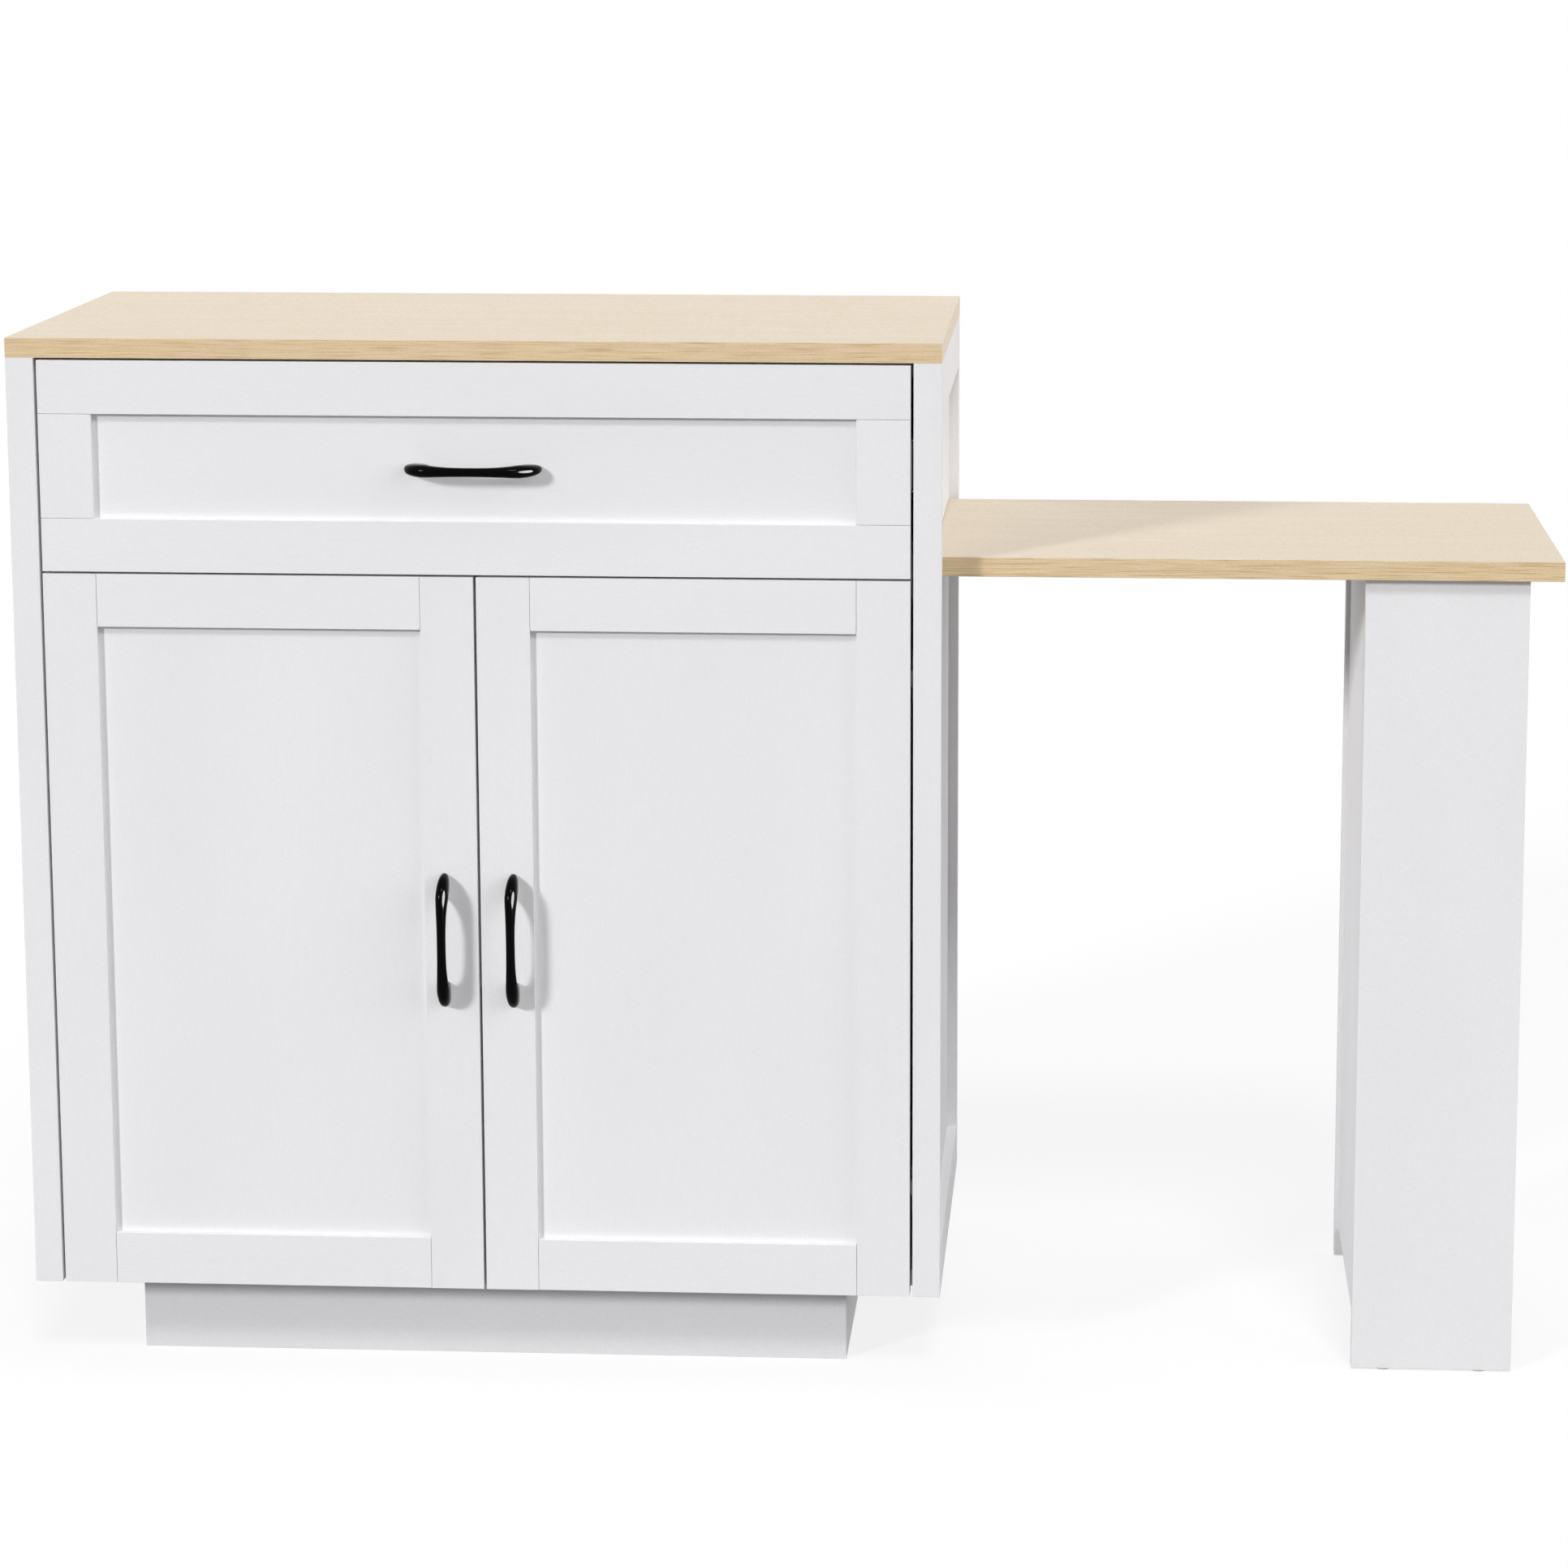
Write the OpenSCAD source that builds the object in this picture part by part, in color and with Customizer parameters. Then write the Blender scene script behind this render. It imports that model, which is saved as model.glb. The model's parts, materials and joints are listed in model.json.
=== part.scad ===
// Kitchen island with a pull-out table: a base cabinet with one drawer and two doors,
// and a table board that slides out of its right side on a leg of its own.
// Lengths are in millimetres. The cabinet's left face is X = 0, its front face Y = 0 and the floor Z = 0,
// and placed() then moves every piece so that the origin is under the middle of the whole island.

/* [Cabinet] */
// Width of the cabinet over its posts
cabinet_w = 800; // [700:10:1000]
// Depth of the cabinet over its posts
cabinet_d = 400; // [360:10:600]
// Height of the cabinet to the top of its worktop
cabinet_h = 914; // [860:1:980]
// Thickness of the worktop board
counter_t = 17; // [12:1:30]
// Thickness of the carcass boards
board_t = 15; // [12:1:18]
// Width of a corner post, seen from the front
post_w = 24; // [22:1:40]
// Thickness of a corner post, front to back
post_t = 15; // [12:1:18]
// Thickness of the rails laid on the side panels
side_rail_t = 9; // [5:1:9]
// Height of the upper side rail
side_top_rail_h = 47; // [30:1:80]
// Height of the lower side rail
side_bottom_rail_h = 40; // [30:1:80]
// Thickness of the hardboard back
back_t = 3; // [2:0.5:5]
// Height of the two rails that hold the back
back_rail_h = 60; // [40:5:100]
// Width of the two stretchers under the worktop
stretcher_w = 60; // [40:5:90]
// Free space between the fronts and the first stretcher
stretcher_gap = 5; // [1:1:20]
// Distance of the worktop's screws from the cabinet's sides
counter_screw_inset = 160; // [60:10:250]

/* [Plinth] */
// Height of the plinth
plinth_h = 76; // [50:1:120]
// Setback of the plinth from each side
plinth_side_inset = 85; // [30:5:120]
// Setback of the plinth from the front and the back
plinth_depth_inset = 50; // [20:5:80]
// Side of the glued corner blocks in the plinth
plinth_block = 30; // [20:1:45]

/* [Doors and drawer front] */
// Thickness of the frame of a front
front_t = 17; // [16:1:22]
// Width of the frame members
frame_w = 46; // [44:1:60]
// Depth from the frame's face to the panel
relief = 5.5; // [3:0.5:6]
// Thickness of the panel in its groove
front_panel_t = 6; // [4:0.5:8]
// Depth of the groove that holds the panel
groove_d = 6; // [4:0.5:6]
// Gap between fronts and beside them
front_gap = 2.5; // [2.5:0.5:4]
// Gap above and below the drawer front
front_gap_z = 2; // [1.5:0.5:4]
// Height of the drawer front
drawer_front_h = 182.5; // [165:0.5:200]

/* [Handles] */
// Length of a handle
handle_l = 118; // [108:1:160]
// Distance between the two screws of a handle
handle_centres = 96; // [88:1:140]
// How far a handle stands out of the face it is fixed to
handle_reach = 27; // [22:1:40]
// Width of the grip at its middle
handle_mid_w = 7.2; // [6:0.2:9]
// Width of the grip at its feet
handle_foot_w = 11.2; // [10:0.2:14]
// Thickness of the grip at its middle
handle_mid_t = 6; // [5:0.5:8]
// Distance of a door handle from the middle of the cabinet
handle_offset = 30; // [26:1:32]
// Height of the middle of the door handles
handle_z = 392; // [250:1:600]
// Radius of a handle screw
handle_screw_r = 2; // [1.5:0.1:2.4]

/* [Hinges] */
// Radius of the cup bored into the door
cup_r = 17.5; // [17:0.1:17.5]
// Depth of the cup
cup_depth = 13; // [12.5:0.1:13]
// Thickness of the cup's wall
cup_wall = 0.8; // [0.5:0.1:0.9]
// Distance of the cup's middle from the door's edge
cup_inset = 22; // [21.5:0.1:22.3]
// Distance of the pivot from the door's edge
pivot_inset = 19; // [18.5:0.1:19.2]
// Depth of the pivot behind the door's face
pivot_depth = 8; // [7.8:0.1:8.5]
// Radius of the hinge pin
pin_r = 1.5; // [1:0.1:1.6]
// Radial running clearance of the hinge pin
pin_clearance = 0.05; // [0.02:0.01:0.1]
// Distance of the hinges from the door's ends
hinge_inset = 90; // [60:1:140]
// Thickness of the bent hinge arm
arm_t = 2.5; // [1.5:0.1:2.8]

/* [Shelf] */
// Height of the shelf's underside
shelf_z = 380; // [250:1:500]
// Distance of the shelf from the front face
shelf_setback = 60; // [50:1:120]
// Radius of a shelf pin
shelf_pin_r = 2.5; // [2:0.1:3]
// Distance of the front pins from the shelf's front edge
pin_inset = 40; // [20:1:60]
// Distance between the rows of pin holes
pin_pitch = 32; // [25:1:50]

/* [Drawer] */
// Thickness of the drawer's sides, back and inner front
drawer_board_t = 12; // [10:1:15]
// Thickness of the drawer's bottom
drawer_bottom_t = 5; // [3:0.5:6]
// Free space behind the drawer box
drawer_rear_gap = 28; // [10:1:80]
// Width of the space for a slide beside the drawer
slide_space = 12.7; // [12.7:0.1:14]
// Height of the outer slide member
slide_h = 45; // [35:1:50]
// Thickness of the slide members
slide_t = 1.2; // [1:0.1:1.5]
// Running clearance between slide members
slide_clearance = 0.3; // [0.2:0.1:0.5]

/* [Pull-out table] */
// Thickness of the table board
table_t = 17; // [15:1:22]
// Drop from the worktop to the table board
table_drop = 188; // [184:1:200]
// Length of the board outside the cabinet
table_reach = 530; // [480:10:700]
// Length of the board that stays inside when it is pulled out
table_hold = 224; // [150:1:300]
// Setback of the board from the cabinet's front face
table_front_inset = 38; // [36:1:50]
// Setback of the board from the cabinet's rear face
table_rear_inset = 22; // [20:1:40]
// Width of the leg, seen from the front
leg_w = 140; // [100:5:180]
// Length of the board past the leg
leg_overhang = 28; // [10:1:60]
// Setback of the leg from the board's front edge
leg_front_inset = 10; // [2:1:30]
// Setback of the leg from the board's rear edge
leg_rear_inset = 3; // [2:1:30]
// Setback of the leg's inner panel from the leg's edge
leg_panel_inset = 4; // [1:1:20]
// Height of the leg's inner panel and lowest shelf above the floor
leg_panel_z = 27; // [10:1:80]
// Setback of the leg's shelves from their open edge
leg_shelf_inset = 2; // [0:1:10]
// Number of shelves in the leg
leg_shelves_n = 3; // [2:1:4]
// Thickness of the glides under the leg
glide_t = 1.5; // [1:0.5:5]
// Radius of the glides
glide_r = 6.5; // [4:0.5:7]
// Distance of the glides from the leg's edges
glide_inset = 28; // [10:1:40]
// Wall of the runners that hold the board's edges
runner_t = 1.5; // [1:0.1:2.5]
// How far a runner laps over the board
runner_lap = 12; // [8:1:20]
// Length of the runners
runner_l = 570; // [450:10:640]
// Running clearance round the board in its runners
runner_clearance = 0.3; // [0.2:0.1:0.6]
// Height of the stop on top of the board
stop_h = 10; // [6:1:12]
// Width of the stop along the slide
stop_w = 20; // [12:1:40]

/* [Hidden] */
$fn = 48;

// Finishes
white = "#e9e9ed";
maple = "#e6dac7";
black = "#161618";
steel = "#b9bcc1";
hardboard = "#dedee0";
nylon = "#d6d6d3";

// A cutter reaches this far past the face it cuts
past = 1;
// Clearance of a screw or a pin in its hole
hole_clearance = 0.1;

// Carcass
carcass_top = cabinet_h - counter_t;
panel_x = side_rail_t;
inner_x = panel_x + board_t;
post_x = max(post_w, inner_x);
rear_y = cabinet_d - post_t;
top_stretcher_z = carcass_top - board_t;
stretcher_y = [front_t + stretcher_gap, rear_y - stretcher_w];
plinth_x = [plinth_side_inset, cabinet_w - plinth_side_inset];
plinth_y = [plinth_depth_inset, cabinet_d - plinth_depth_inset];
// The corner blocks end this far above the floor
block_rise = 15;

// Fronts
front_x = post_x + front_gap;
front_w = cabinet_w - 2 * front_x;
drawer_front_z = carcass_top - front_gap_z - drawer_front_h;
door_z = plinth_h;
door_h = drawer_front_z - front_gap_z - door_z;
door_w = (front_w - front_gap) / 2;
// A panel or a tenon stops this far short of the bottom of its groove
groove_slack = 0.5;
tongue_l = groove_d - groove_slack;
groove_y = [relief, relief + front_panel_t];

// Hinges
pivot_x = front_x + pivot_inset;
cup_x = front_x + cup_inset;
hinge_z = [door_z + hinge_inset, door_z + door_h - hinge_inset];
// Radius that the door's rear corner sweeps round the pivot
corner_r = sqrt(pow(pivot_inset, 2) + pow(front_t - pivot_depth, 2));
sweep_clearance = 1;
// The arm leaves the pin at this angle, between the two ways that the cup's rim can face
arm_angle = 38;
// It bends back outside the sweep, first by a short turn and then straight to its block
arm_reach = 25.5;
arm_turn = 4;
arm_margin = 0.3;
arm_y = corner_r + sweep_clearance + arm_margin + arm_t / 2;
arm_half_h = 4.5;
plate_t = 2;
plate_l = 32;
plate_h = 40;
block_t = 7;
block_h = 14;
block_x = inner_x + plate_t + block_t - pivot_x;
eye_wall = 1;
eye_r = pin_r + pin_clearance + eye_wall;
flange_t = 1;
flange_h = 60;
flange_w = 14;
hinge_screw_r = 1.75;
hinge_screw_l = 10;
hinge_screw_head = 1.5;
hinge_hole_r = hinge_screw_r + hole_clearance;
// Distance of a cup's screws and of a plate's screws from the middle of the hinge
cup_screw_z = 24;
plate_screw_z = 14;
plate_y = pivot_depth + arm_y - arm_t / 2;
arm_path = [
    [0, 0],
    arm_reach * [cos(arm_angle), sin(arm_angle)],
    [arm_reach * cos(arm_angle) - arm_turn, arm_y],
    [block_x - block_t / 2, arm_y]
];
// Boards behind the doors start where the door's corner no longer reaches
floor_y = pivot_depth + corner_r + sweep_clearance;

// Table board, at its pulled-out place
table_z = cabinet_h - table_drop;
table_bottom = table_z - table_t;
table_x0 = cabinet_w - table_hold;
table_x1 = cabinet_w + table_reach;
table_y = [table_front_inset, cabinet_d - table_rear_inset];
slot_clearance = [2, 1];
runner_bottom = table_bottom - runner_clearance - runner_t;
runner_top = table_z + runner_clearance + runner_t;
runner_x = [cabinet_w - inner_x - runner_l, cabinet_w - inner_x];
leg_x0 = table_x1 - leg_overhang - leg_w;
leg_x1 = table_x1 - leg_overhang;
leg_y = [table_y[0] + leg_front_inset, table_y[1] - leg_rear_inset];
leg_gap_y = [leg_y[0] + board_t, leg_y[1] - board_t];
leg_inner_x = leg_x0 + leg_panel_inset + board_t;
leg_pitch = (table_bottom - leg_panel_z) / leg_shelves_n;
bracket_l = 20;
bracket_w = 30;
bracket_t = 2;
// Places of the two brackets on the leg's inner panel, as shares of its width
bracket_shares = [0.3, 0.7];
// Free space at each end of the stop
stop_side_gap = 10;

// Drawer
drawer_x = inner_x + slide_space;
drawer_under_gap = 6;
drawer_over_gap = 10;
drawer_z = table_z + stop_h + drawer_under_gap;
drawer_top = top_stretcher_z - drawer_over_gap;
drawer_l = rear_y - front_t - drawer_rear_gap;
drawer_y = [front_t, front_t + drawer_l];
drawer_groove_z = 10;
drawer_groove_d = 5;
drawer_bottom_x = drawer_x + drawer_board_t - drawer_groove_d;
drawer_bottom_y = drawer_y[0] + drawer_board_t - drawer_groove_d;
drawer_front_wall = front_t + drawer_board_t - relief;
slide_front_gap = 3;
slide_z = (drawer_z + drawer_top) / 2;
slide_y = [front_t + slide_front_gap, front_t + slide_front_gap + drawer_l];
slide_lip = 9.5;
// Free space between the webs and lips of neighbouring members
slide_play = 1;
slide_middle_x = 2;
slide_step = 2 * (slide_t + slide_clearance);

// Shelf
shelf_gap = 1;
pin_grip = 9;
pin_out = 9;
pin_y = [shelf_setback + pin_inset, rear_y - shelf_gap - pin_inset];

// Catches
catch_size = [36, 36, 14];
catch_gap = 0.5;
strike_size = [30, 1.5, 12];
catch_x = front_x + door_w - frame_w / 2;
catch_y = front_t + strike_size[1] + catch_gap;
catch_z = runner_bottom - board_t;

// Screws, whose holes stop inside the board that they bite into
screw_head_h = 2.5;
screw_head_ratio = 2;
hole_spare = 1;
runner_screw_inset = 57;
runner_screw_pitch = runner_l / 2 - runner_screw_inset;
runner_screw_x = [for (i = [0:2]) runner_x[0] + runner_screw_inset + i * runner_screw_pitch];
runner_screw_y = [table_y[0] + runner_lap / 2, table_y[1] - runner_lap / 2];
runner_screw_r = 1.6;
runner_hole_r = runner_screw_r + hole_clearance;
runner_screw_tip = runner_bottom - board_t * 0.75;
counter_screw_x = [counter_screw_inset, cabinet_w - counter_screw_inset];
counter_screw_r = 2;
counter_hole_r = counter_screw_r + hole_clearance;
counter_screw_tip = carcass_top + counter_t * 0.7;

// Handles: half a squared ellipse, wider and deeper towards its feet
foot_half = (handle_l - handle_centres) / 2;
bow_half = handle_centres / 2;
bow_reach = handle_reach - handle_mid_t / 2;
bow_power = 0.7;
flare_power = 3;
bow_rings = 36;
bow_sides = 16;
handle_bore = 8;

// Origin under the middle of the whole island
origin = [table_x1 / 2, (cabinet_d - handle_reach) / 2, 0];

module placed() translate(-origin) children();

// The same piece on the other side of the cabinet
module opposite() translate([cabinet_w, 0, 0]) mirror([1, 0, 0]) children();

function unit(v) = v / norm(v);
function backwards(list) = [for (i = [len(list) - 1:-1:0]) list[i]];

// A board between two limits on each axis
module board(x, y, z) translate([x[0], y[0], z[0]]) cube([x[1] - x[0], y[1] - y[0], z[1] - z[0]]);

// A rod along Z from z[0] to z[1]
module rod(r, z) translate([0, 0, z[0]]) cylinder(r = r, h = z[1] - z[0]);

// Carcass

module countertop() color(maple) placed() difference() {
    board([0, cabinet_w], [0, cabinet_d], [carcass_top, cabinet_h]);
    counter_screw_places() rod(counter_hole_r, [carcass_top - past, counter_screw_tip + hole_spare]);
}

module counter_screw_places() for (x = counter_screw_x, y = stretcher_y)
    translate([x, y + stretcher_w / 2, 0]) children();

module side_panel() difference() {
    board([panel_x, inner_x], [post_t, rear_y], [plinth_h, carcass_top]);
    pin_holes();
    plate_screw_places() rod(hinge_hole_r, [-past, hinge_screw_l + hole_spare]);
}

module pin_holes() for (y = pin_y, i = [-2:2])
    translate([inner_x - pin_grip - past, y, shelf_z - shelf_pin_r + i * pin_pitch])
    rotate([0, 90, 0]) cylinder(r = shelf_pin_r + hole_clearance, h = pin_grip + 2 * past);

module left_side_panel() color(white) placed() side_panel();

module right_side_panel() color(white) placed() difference() {
    opposite() side_panel();
    board(
        [cabinet_w - inner_x - past, cabinet_w - panel_x + past],
        [table_y[0] - slot_clearance[0], table_y[1] + slot_clearance[0]],
        [table_bottom - slot_clearance[1], table_z + slot_clearance[1]]
    );
}

module post_pair(y) {
    board([0, post_w], y, [plinth_h, carcass_top]);
    opposite() board([0, post_w], y, [plinth_h, carcass_top]);
}

module front_posts() color(white) placed() post_pair([0, post_t]);

module rear_posts() color(white) placed() post_pair([rear_y, cabinet_d]);

module side_rails() {
    board([0, panel_x], [post_t, rear_y], [carcass_top - side_top_rail_h, carcass_top]);
    board([0, panel_x], [post_t, rear_y], [plinth_h, plinth_h + side_bottom_rail_h]);
}

module left_side_rails() color(white) placed() side_rails();

module right_side_rails() color(white) placed() opposite() side_rails();

module bottom_panel() color(white) placed()
    board([inner_x, cabinet_w - inner_x], [floor_y, rear_y], [plinth_h, plinth_h + board_t]);

module bay_floor() color(white) placed() difference() {
    board([inner_x, cabinet_w - inner_x], [floor_y, rear_y], [runner_bottom - board_t, runner_bottom]);
    runner_screw_places() rod(runner_hole_r, [runner_screw_tip - hole_spare, runner_bottom + past]);
}

module back_panel() color(hardboard) placed()
    board([post_w, cabinet_w - post_w], [rear_y, rear_y + back_t], [plinth_h, carcass_top]);

module back_rails() color(white) placed()
    for (z = [plinth_h, carcass_top - back_rail_h])
        board([post_w, cabinet_w - post_w], [rear_y + back_t, cabinet_d], [z, z + back_rail_h]);

module top_stretchers() color(white) placed() difference() {
    for (y = stretcher_y)
        board([inner_x, cabinet_w - inner_x], [y, y + stretcher_w], [top_stretcher_z, carcass_top]);
    counter_screw_places() rod(counter_hole_r, [top_stretcher_z - past, carcass_top + past]);
}

module countertop_screws() color(steel) placed() counter_screw_places() {
    rod(counter_screw_r, [top_stretcher_z - screw_head_h, counter_screw_tip]);
    rod(screw_head_ratio * counter_screw_r, [top_stretcher_z - screw_head_h, top_stretcher_z]);
}

// Plinth

module plinth_front() color(white) placed()
    board(plinth_x, [plinth_y[0], plinth_y[0] + board_t], [0, plinth_h]);

module plinth_rear() color(white) placed()
    board(plinth_x, [plinth_y[1] - board_t, plinth_y[1]], [0, plinth_h]);

module plinth_sides() color(white) placed()
    for (x = [plinth_x[0], plinth_x[1] - board_t])
        board([x, x + board_t], [plinth_y[0] + board_t, plinth_y[1] - board_t], [0, plinth_h]);

module plinth_blocks() color(maple) placed()
    for (x = [plinth_x[0] + board_t, plinth_x[1] - board_t - plinth_block],
         y = [plinth_y[0] + board_t, plinth_y[1] - board_t - plinth_block])
        board([x, x + plinth_block], [y, y + plinth_block], [block_rise, plinth_h]);

// Shelf

module shelf() color(white) placed()
    board([inner_x + shelf_gap, cabinet_w - inner_x - shelf_gap],
          [shelf_setback, rear_y - shelf_gap], [shelf_z, shelf_z + board_t]);

module side_pins() for (y = pin_y)
    translate([inner_x - pin_grip, y, shelf_z - shelf_pin_r])
    rotate([0, 90, 0]) cylinder(r = shelf_pin_r, h = pin_grip + pin_out);

module shelf_pins() color(steel) placed() {
    side_pins();
    opposite() side_pins();
}

// Runners that hold the board's edges

module runner() difference() {
    inner_y = table_y[0] - runner_clearance;
    lip_y = table_y[0] + runner_lap;
    board(runner_x, [inner_y - runner_t, lip_y], [runner_bottom, runner_top]);
    board(
        [runner_x[0] - past, runner_x[1] + past],
        [inner_y, lip_y + past],
        [runner_bottom + runner_t, runner_top - runner_t]
    );
}

module screw_cuts() runner_screw_places()
    rod(runner_hole_r, [runner_bottom - past, runner_bottom + runner_t + past]);

module front_table_runner() color(nylon) placed() difference() {
    runner();
    screw_cuts();
}

module rear_table_runner() color(nylon) placed() difference() {
    translate([0, table_y[0] + table_y[1], 0]) mirror([0, 1, 0]) runner();
    screw_cuts();
}

module runner_screw_places() for (x = runner_screw_x, y = runner_screw_y)
    translate([x, y, 0]) children();

module runner_screws() color(steel) placed() runner_screw_places()
    rod(runner_screw_r, [runner_screw_tip, runner_bottom + runner_t]);

// Drawer slides: three nested channels on each side

module channel(x, h, lip, y) {
    board([x, x + slide_t], y, [slide_z - h / 2, slide_z + h / 2]);
    for (s = [-1, 1]) translate([0, 0, slide_z + s * (h - slide_t) / 2])
        board([x, x + lip], y, [-slide_t / 2, slide_t / 2]);
}

module both_sides() {
    children();
    opposite() children();
}

module drawer_slide_outers() color(steel) placed() both_sides()
    channel(inner_x, slide_h, slide_lip, slide_y);

module drawer_slide_middles() color(steel) placed() both_sides()
    channel(inner_x + slide_middle_x, slide_h - slide_step, slide_lip - slide_play, slide_y);

module drawer_slide_inners() color(steel) placed() both_sides()
    translate([2 * drawer_x, 0, 0]) mirror([1, 0, 0])
    channel(drawer_x, slide_h - 2 * slide_step, slide_space - slide_middle_x - slide_t - slide_play, slide_y);

// Framed fronts

// A frame member along X with its groove on top; tongue is the length of the tenons at its ends
module member(l, tongue) difference() {
    union() {
        board([0, l], [0, front_t], [0, frame_w]);
        if (tongue > 0) board([-tongue, l + tongue], groove_y, [0, frame_w]);
    }
    board([-tongue - past, l + tongue + past], groove_y, [frame_w - groove_d, frame_w + past]);
}

// The two members that run the full height
module stiles(w, h, tongue) for (side = [0, 1])
    translate([side * w, 0, 0]) mirror([1 - side, 0, 0]) rotate([0, -90, 0]) member(h, tongue);

// The two members that run along X
module rails(w, h, tongue) for (side = [0, 1])
    translate([0, 0, side * h]) mirror([0, 0, side]) member(w, tongue);

// The panel in the grooves of a front of size w by h
module front_panel(w, h) board(
    [frame_w - groove_d + groove_slack, w - frame_w + groove_d - groove_slack],
    groove_y,
    [frame_w - groove_d + groove_slack, h - frame_w + groove_d - groove_slack]
);

// Handles, in their own frame: X along the bow, feet on Y = 0

function bow_at(a) = [
    -bow_half * sign(cos(a)) * pow(abs(cos(a)), bow_power),
    -bow_reach * pow(max(sin(a), 0), bow_power)
];
function bow_way(a) = a <= 0 ? [0, -1] : a >= 180 ? [0, 1] : unit(bow_at(a + 0.5) - bow_at(a - 0.5));
function flare(mid, foot, x) = mid + (foot - mid) * pow(abs(x) / bow_half, flare_power);
function bow_ring(a) = let (c = bow_at(a), way = bow_way(a), n = [way[1], -way[0]],
    half_w = flare(handle_mid_w, handle_foot_w, c[0]) / 2,
    half_t = flare(handle_mid_t / 2, foot_half, c[0]))
    [for (k = [0:bow_sides - 1]) let (p = 360 * k / bow_sides)
        [c[0] + n[0] * half_t * cos(p), c[1] + n[1] * half_t * cos(p), half_w * sin(p)]];

module handle_solid() {
    points = [for (i = [0:bow_rings]) each bow_ring(180 * i / bow_rings)];
    sides = [for (i = [0:bow_rings - 1], k = [0:bow_sides - 1]) let (
        a = i * bow_sides + k,
        b = i * bow_sides + (k + 1) % bow_sides)
        each [[a, b, b + bow_sides], [a, b + bow_sides, a + bow_sides]]];
    start = backwards([for (k = [0:bow_sides - 1]) k]);
    end = [for (k = [0:bow_sides - 1]) bow_rings * bow_sides + k];
    polyhedron(points, concat([start], sides, [end]));
}

module handle() difference() {
    handle_solid();
    handle_screw_places() rod(handle_screw_r + hole_clearance, [-past, handle_bore]);
}

// Screw axes of a handle, with their Z pointing into the handle's feet
module handle_screw_places() for (s = [-1, 1])
    translate([s * handle_centres / 2, 0, 0]) rotate([90, 0, 0]) children();

// Screws through a wall of thickness t behind the handle
module handle_screws_through(t) handle_screw_places() {
    rod(handle_screw_r, [-t - screw_head_h, handle_bore - hole_spare]);
    rod(screw_head_ratio * handle_screw_r, [-t - screw_head_h, -t]);
}

module on_drawer() translate([cabinet_w / 2, relief, drawer_front_z + drawer_front_h / 2]) children();

module on_door() translate([cabinet_w / 2 - handle_offset, 0, handle_z]) rotate([0, 90, 0]) children();

module screw_holes(t) handle_screw_places() rod(handle_screw_r + hole_clearance, [-t - past, past]);

// Drawer

module at_drawer_front() translate([front_x, 0, drawer_front_z]) children();

module drawer_front_rails() color(white) placed() at_drawer_front() rails(front_w, drawer_front_h, 0);

module drawer_front_stiles() color(white) placed() at_drawer_front()
    translate([0, 0, frame_w]) stiles(front_w, drawer_front_h - 2 * frame_w, tongue_l);

module drawer_front_panel() color(white) placed() difference() {
    at_drawer_front() front_panel(front_w, drawer_front_h);
    on_drawer() screw_holes(drawer_front_wall);
}

module drawer_inner_front() color(white) placed() difference() {
    board([drawer_x + drawer_board_t, cabinet_w - drawer_x - drawer_board_t],
          [drawer_y[0], drawer_y[0] + drawer_board_t], [drawer_z, drawer_top]);
    drawer_bottom_space();
    on_drawer() screw_holes(drawer_front_wall);
}

module drawer_side() board([drawer_x, drawer_x + drawer_board_t], drawer_y, [drawer_z, drawer_top]);

module drawer_sides() color(white) placed() difference() {
    both_sides() drawer_side();
    drawer_bottom_space();
}

module drawer_back() color(white) placed()
    board([drawer_x + drawer_board_t, cabinet_w - drawer_x - drawer_board_t],
          [drawer_y[1] - drawer_board_t, drawer_y[1]],
          [drawer_z + drawer_groove_z + drawer_bottom_t, drawer_top]);

module drawer_bottom_space() board(
    [drawer_bottom_x, cabinet_w - drawer_bottom_x],
    [drawer_bottom_y, drawer_y[1] + past],
    [drawer_z + drawer_groove_z, drawer_z + drawer_groove_z + drawer_bottom_t]
);

module drawer_bottom() color(hardboard) placed() board(
    [drawer_bottom_x + groove_slack, cabinet_w - drawer_bottom_x - groove_slack],
    [drawer_bottom_y + groove_slack, drawer_y[1]],
    [drawer_z + drawer_groove_z, drawer_z + drawer_groove_z + drawer_bottom_t]
);

module drawer_handle() color(black) placed() on_drawer() handle();

module drawer_handle_screws() color(steel) placed() on_drawer() handle_screws_through(drawer_front_wall);

// Doors: the left one, and opposite() makes the right one

module at_door() translate([front_x, 0, door_z]) children();

module hinge_places() for (z = hinge_z) translate([0, 0, z]) children();

module door_stiles() difference() {
    at_door() stiles(door_w, door_h, 0);
    hinge_places() translate([cup_x, front_t - cup_depth, 0])
        rotate([-90, 0, 0]) cylinder(r = cup_r, h = cup_depth + past);
    on_door() screw_holes(front_t);
    cup_screw_places() rod(hinge_hole_r, [-past, hinge_screw_l + hole_spare]);
}

module door_rails() at_door() translate([frame_w, 0, 0]) rails(door_w - 2 * frame_w, door_h, tongue_l);

module door_panel() at_door() front_panel(door_w, door_h);

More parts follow.
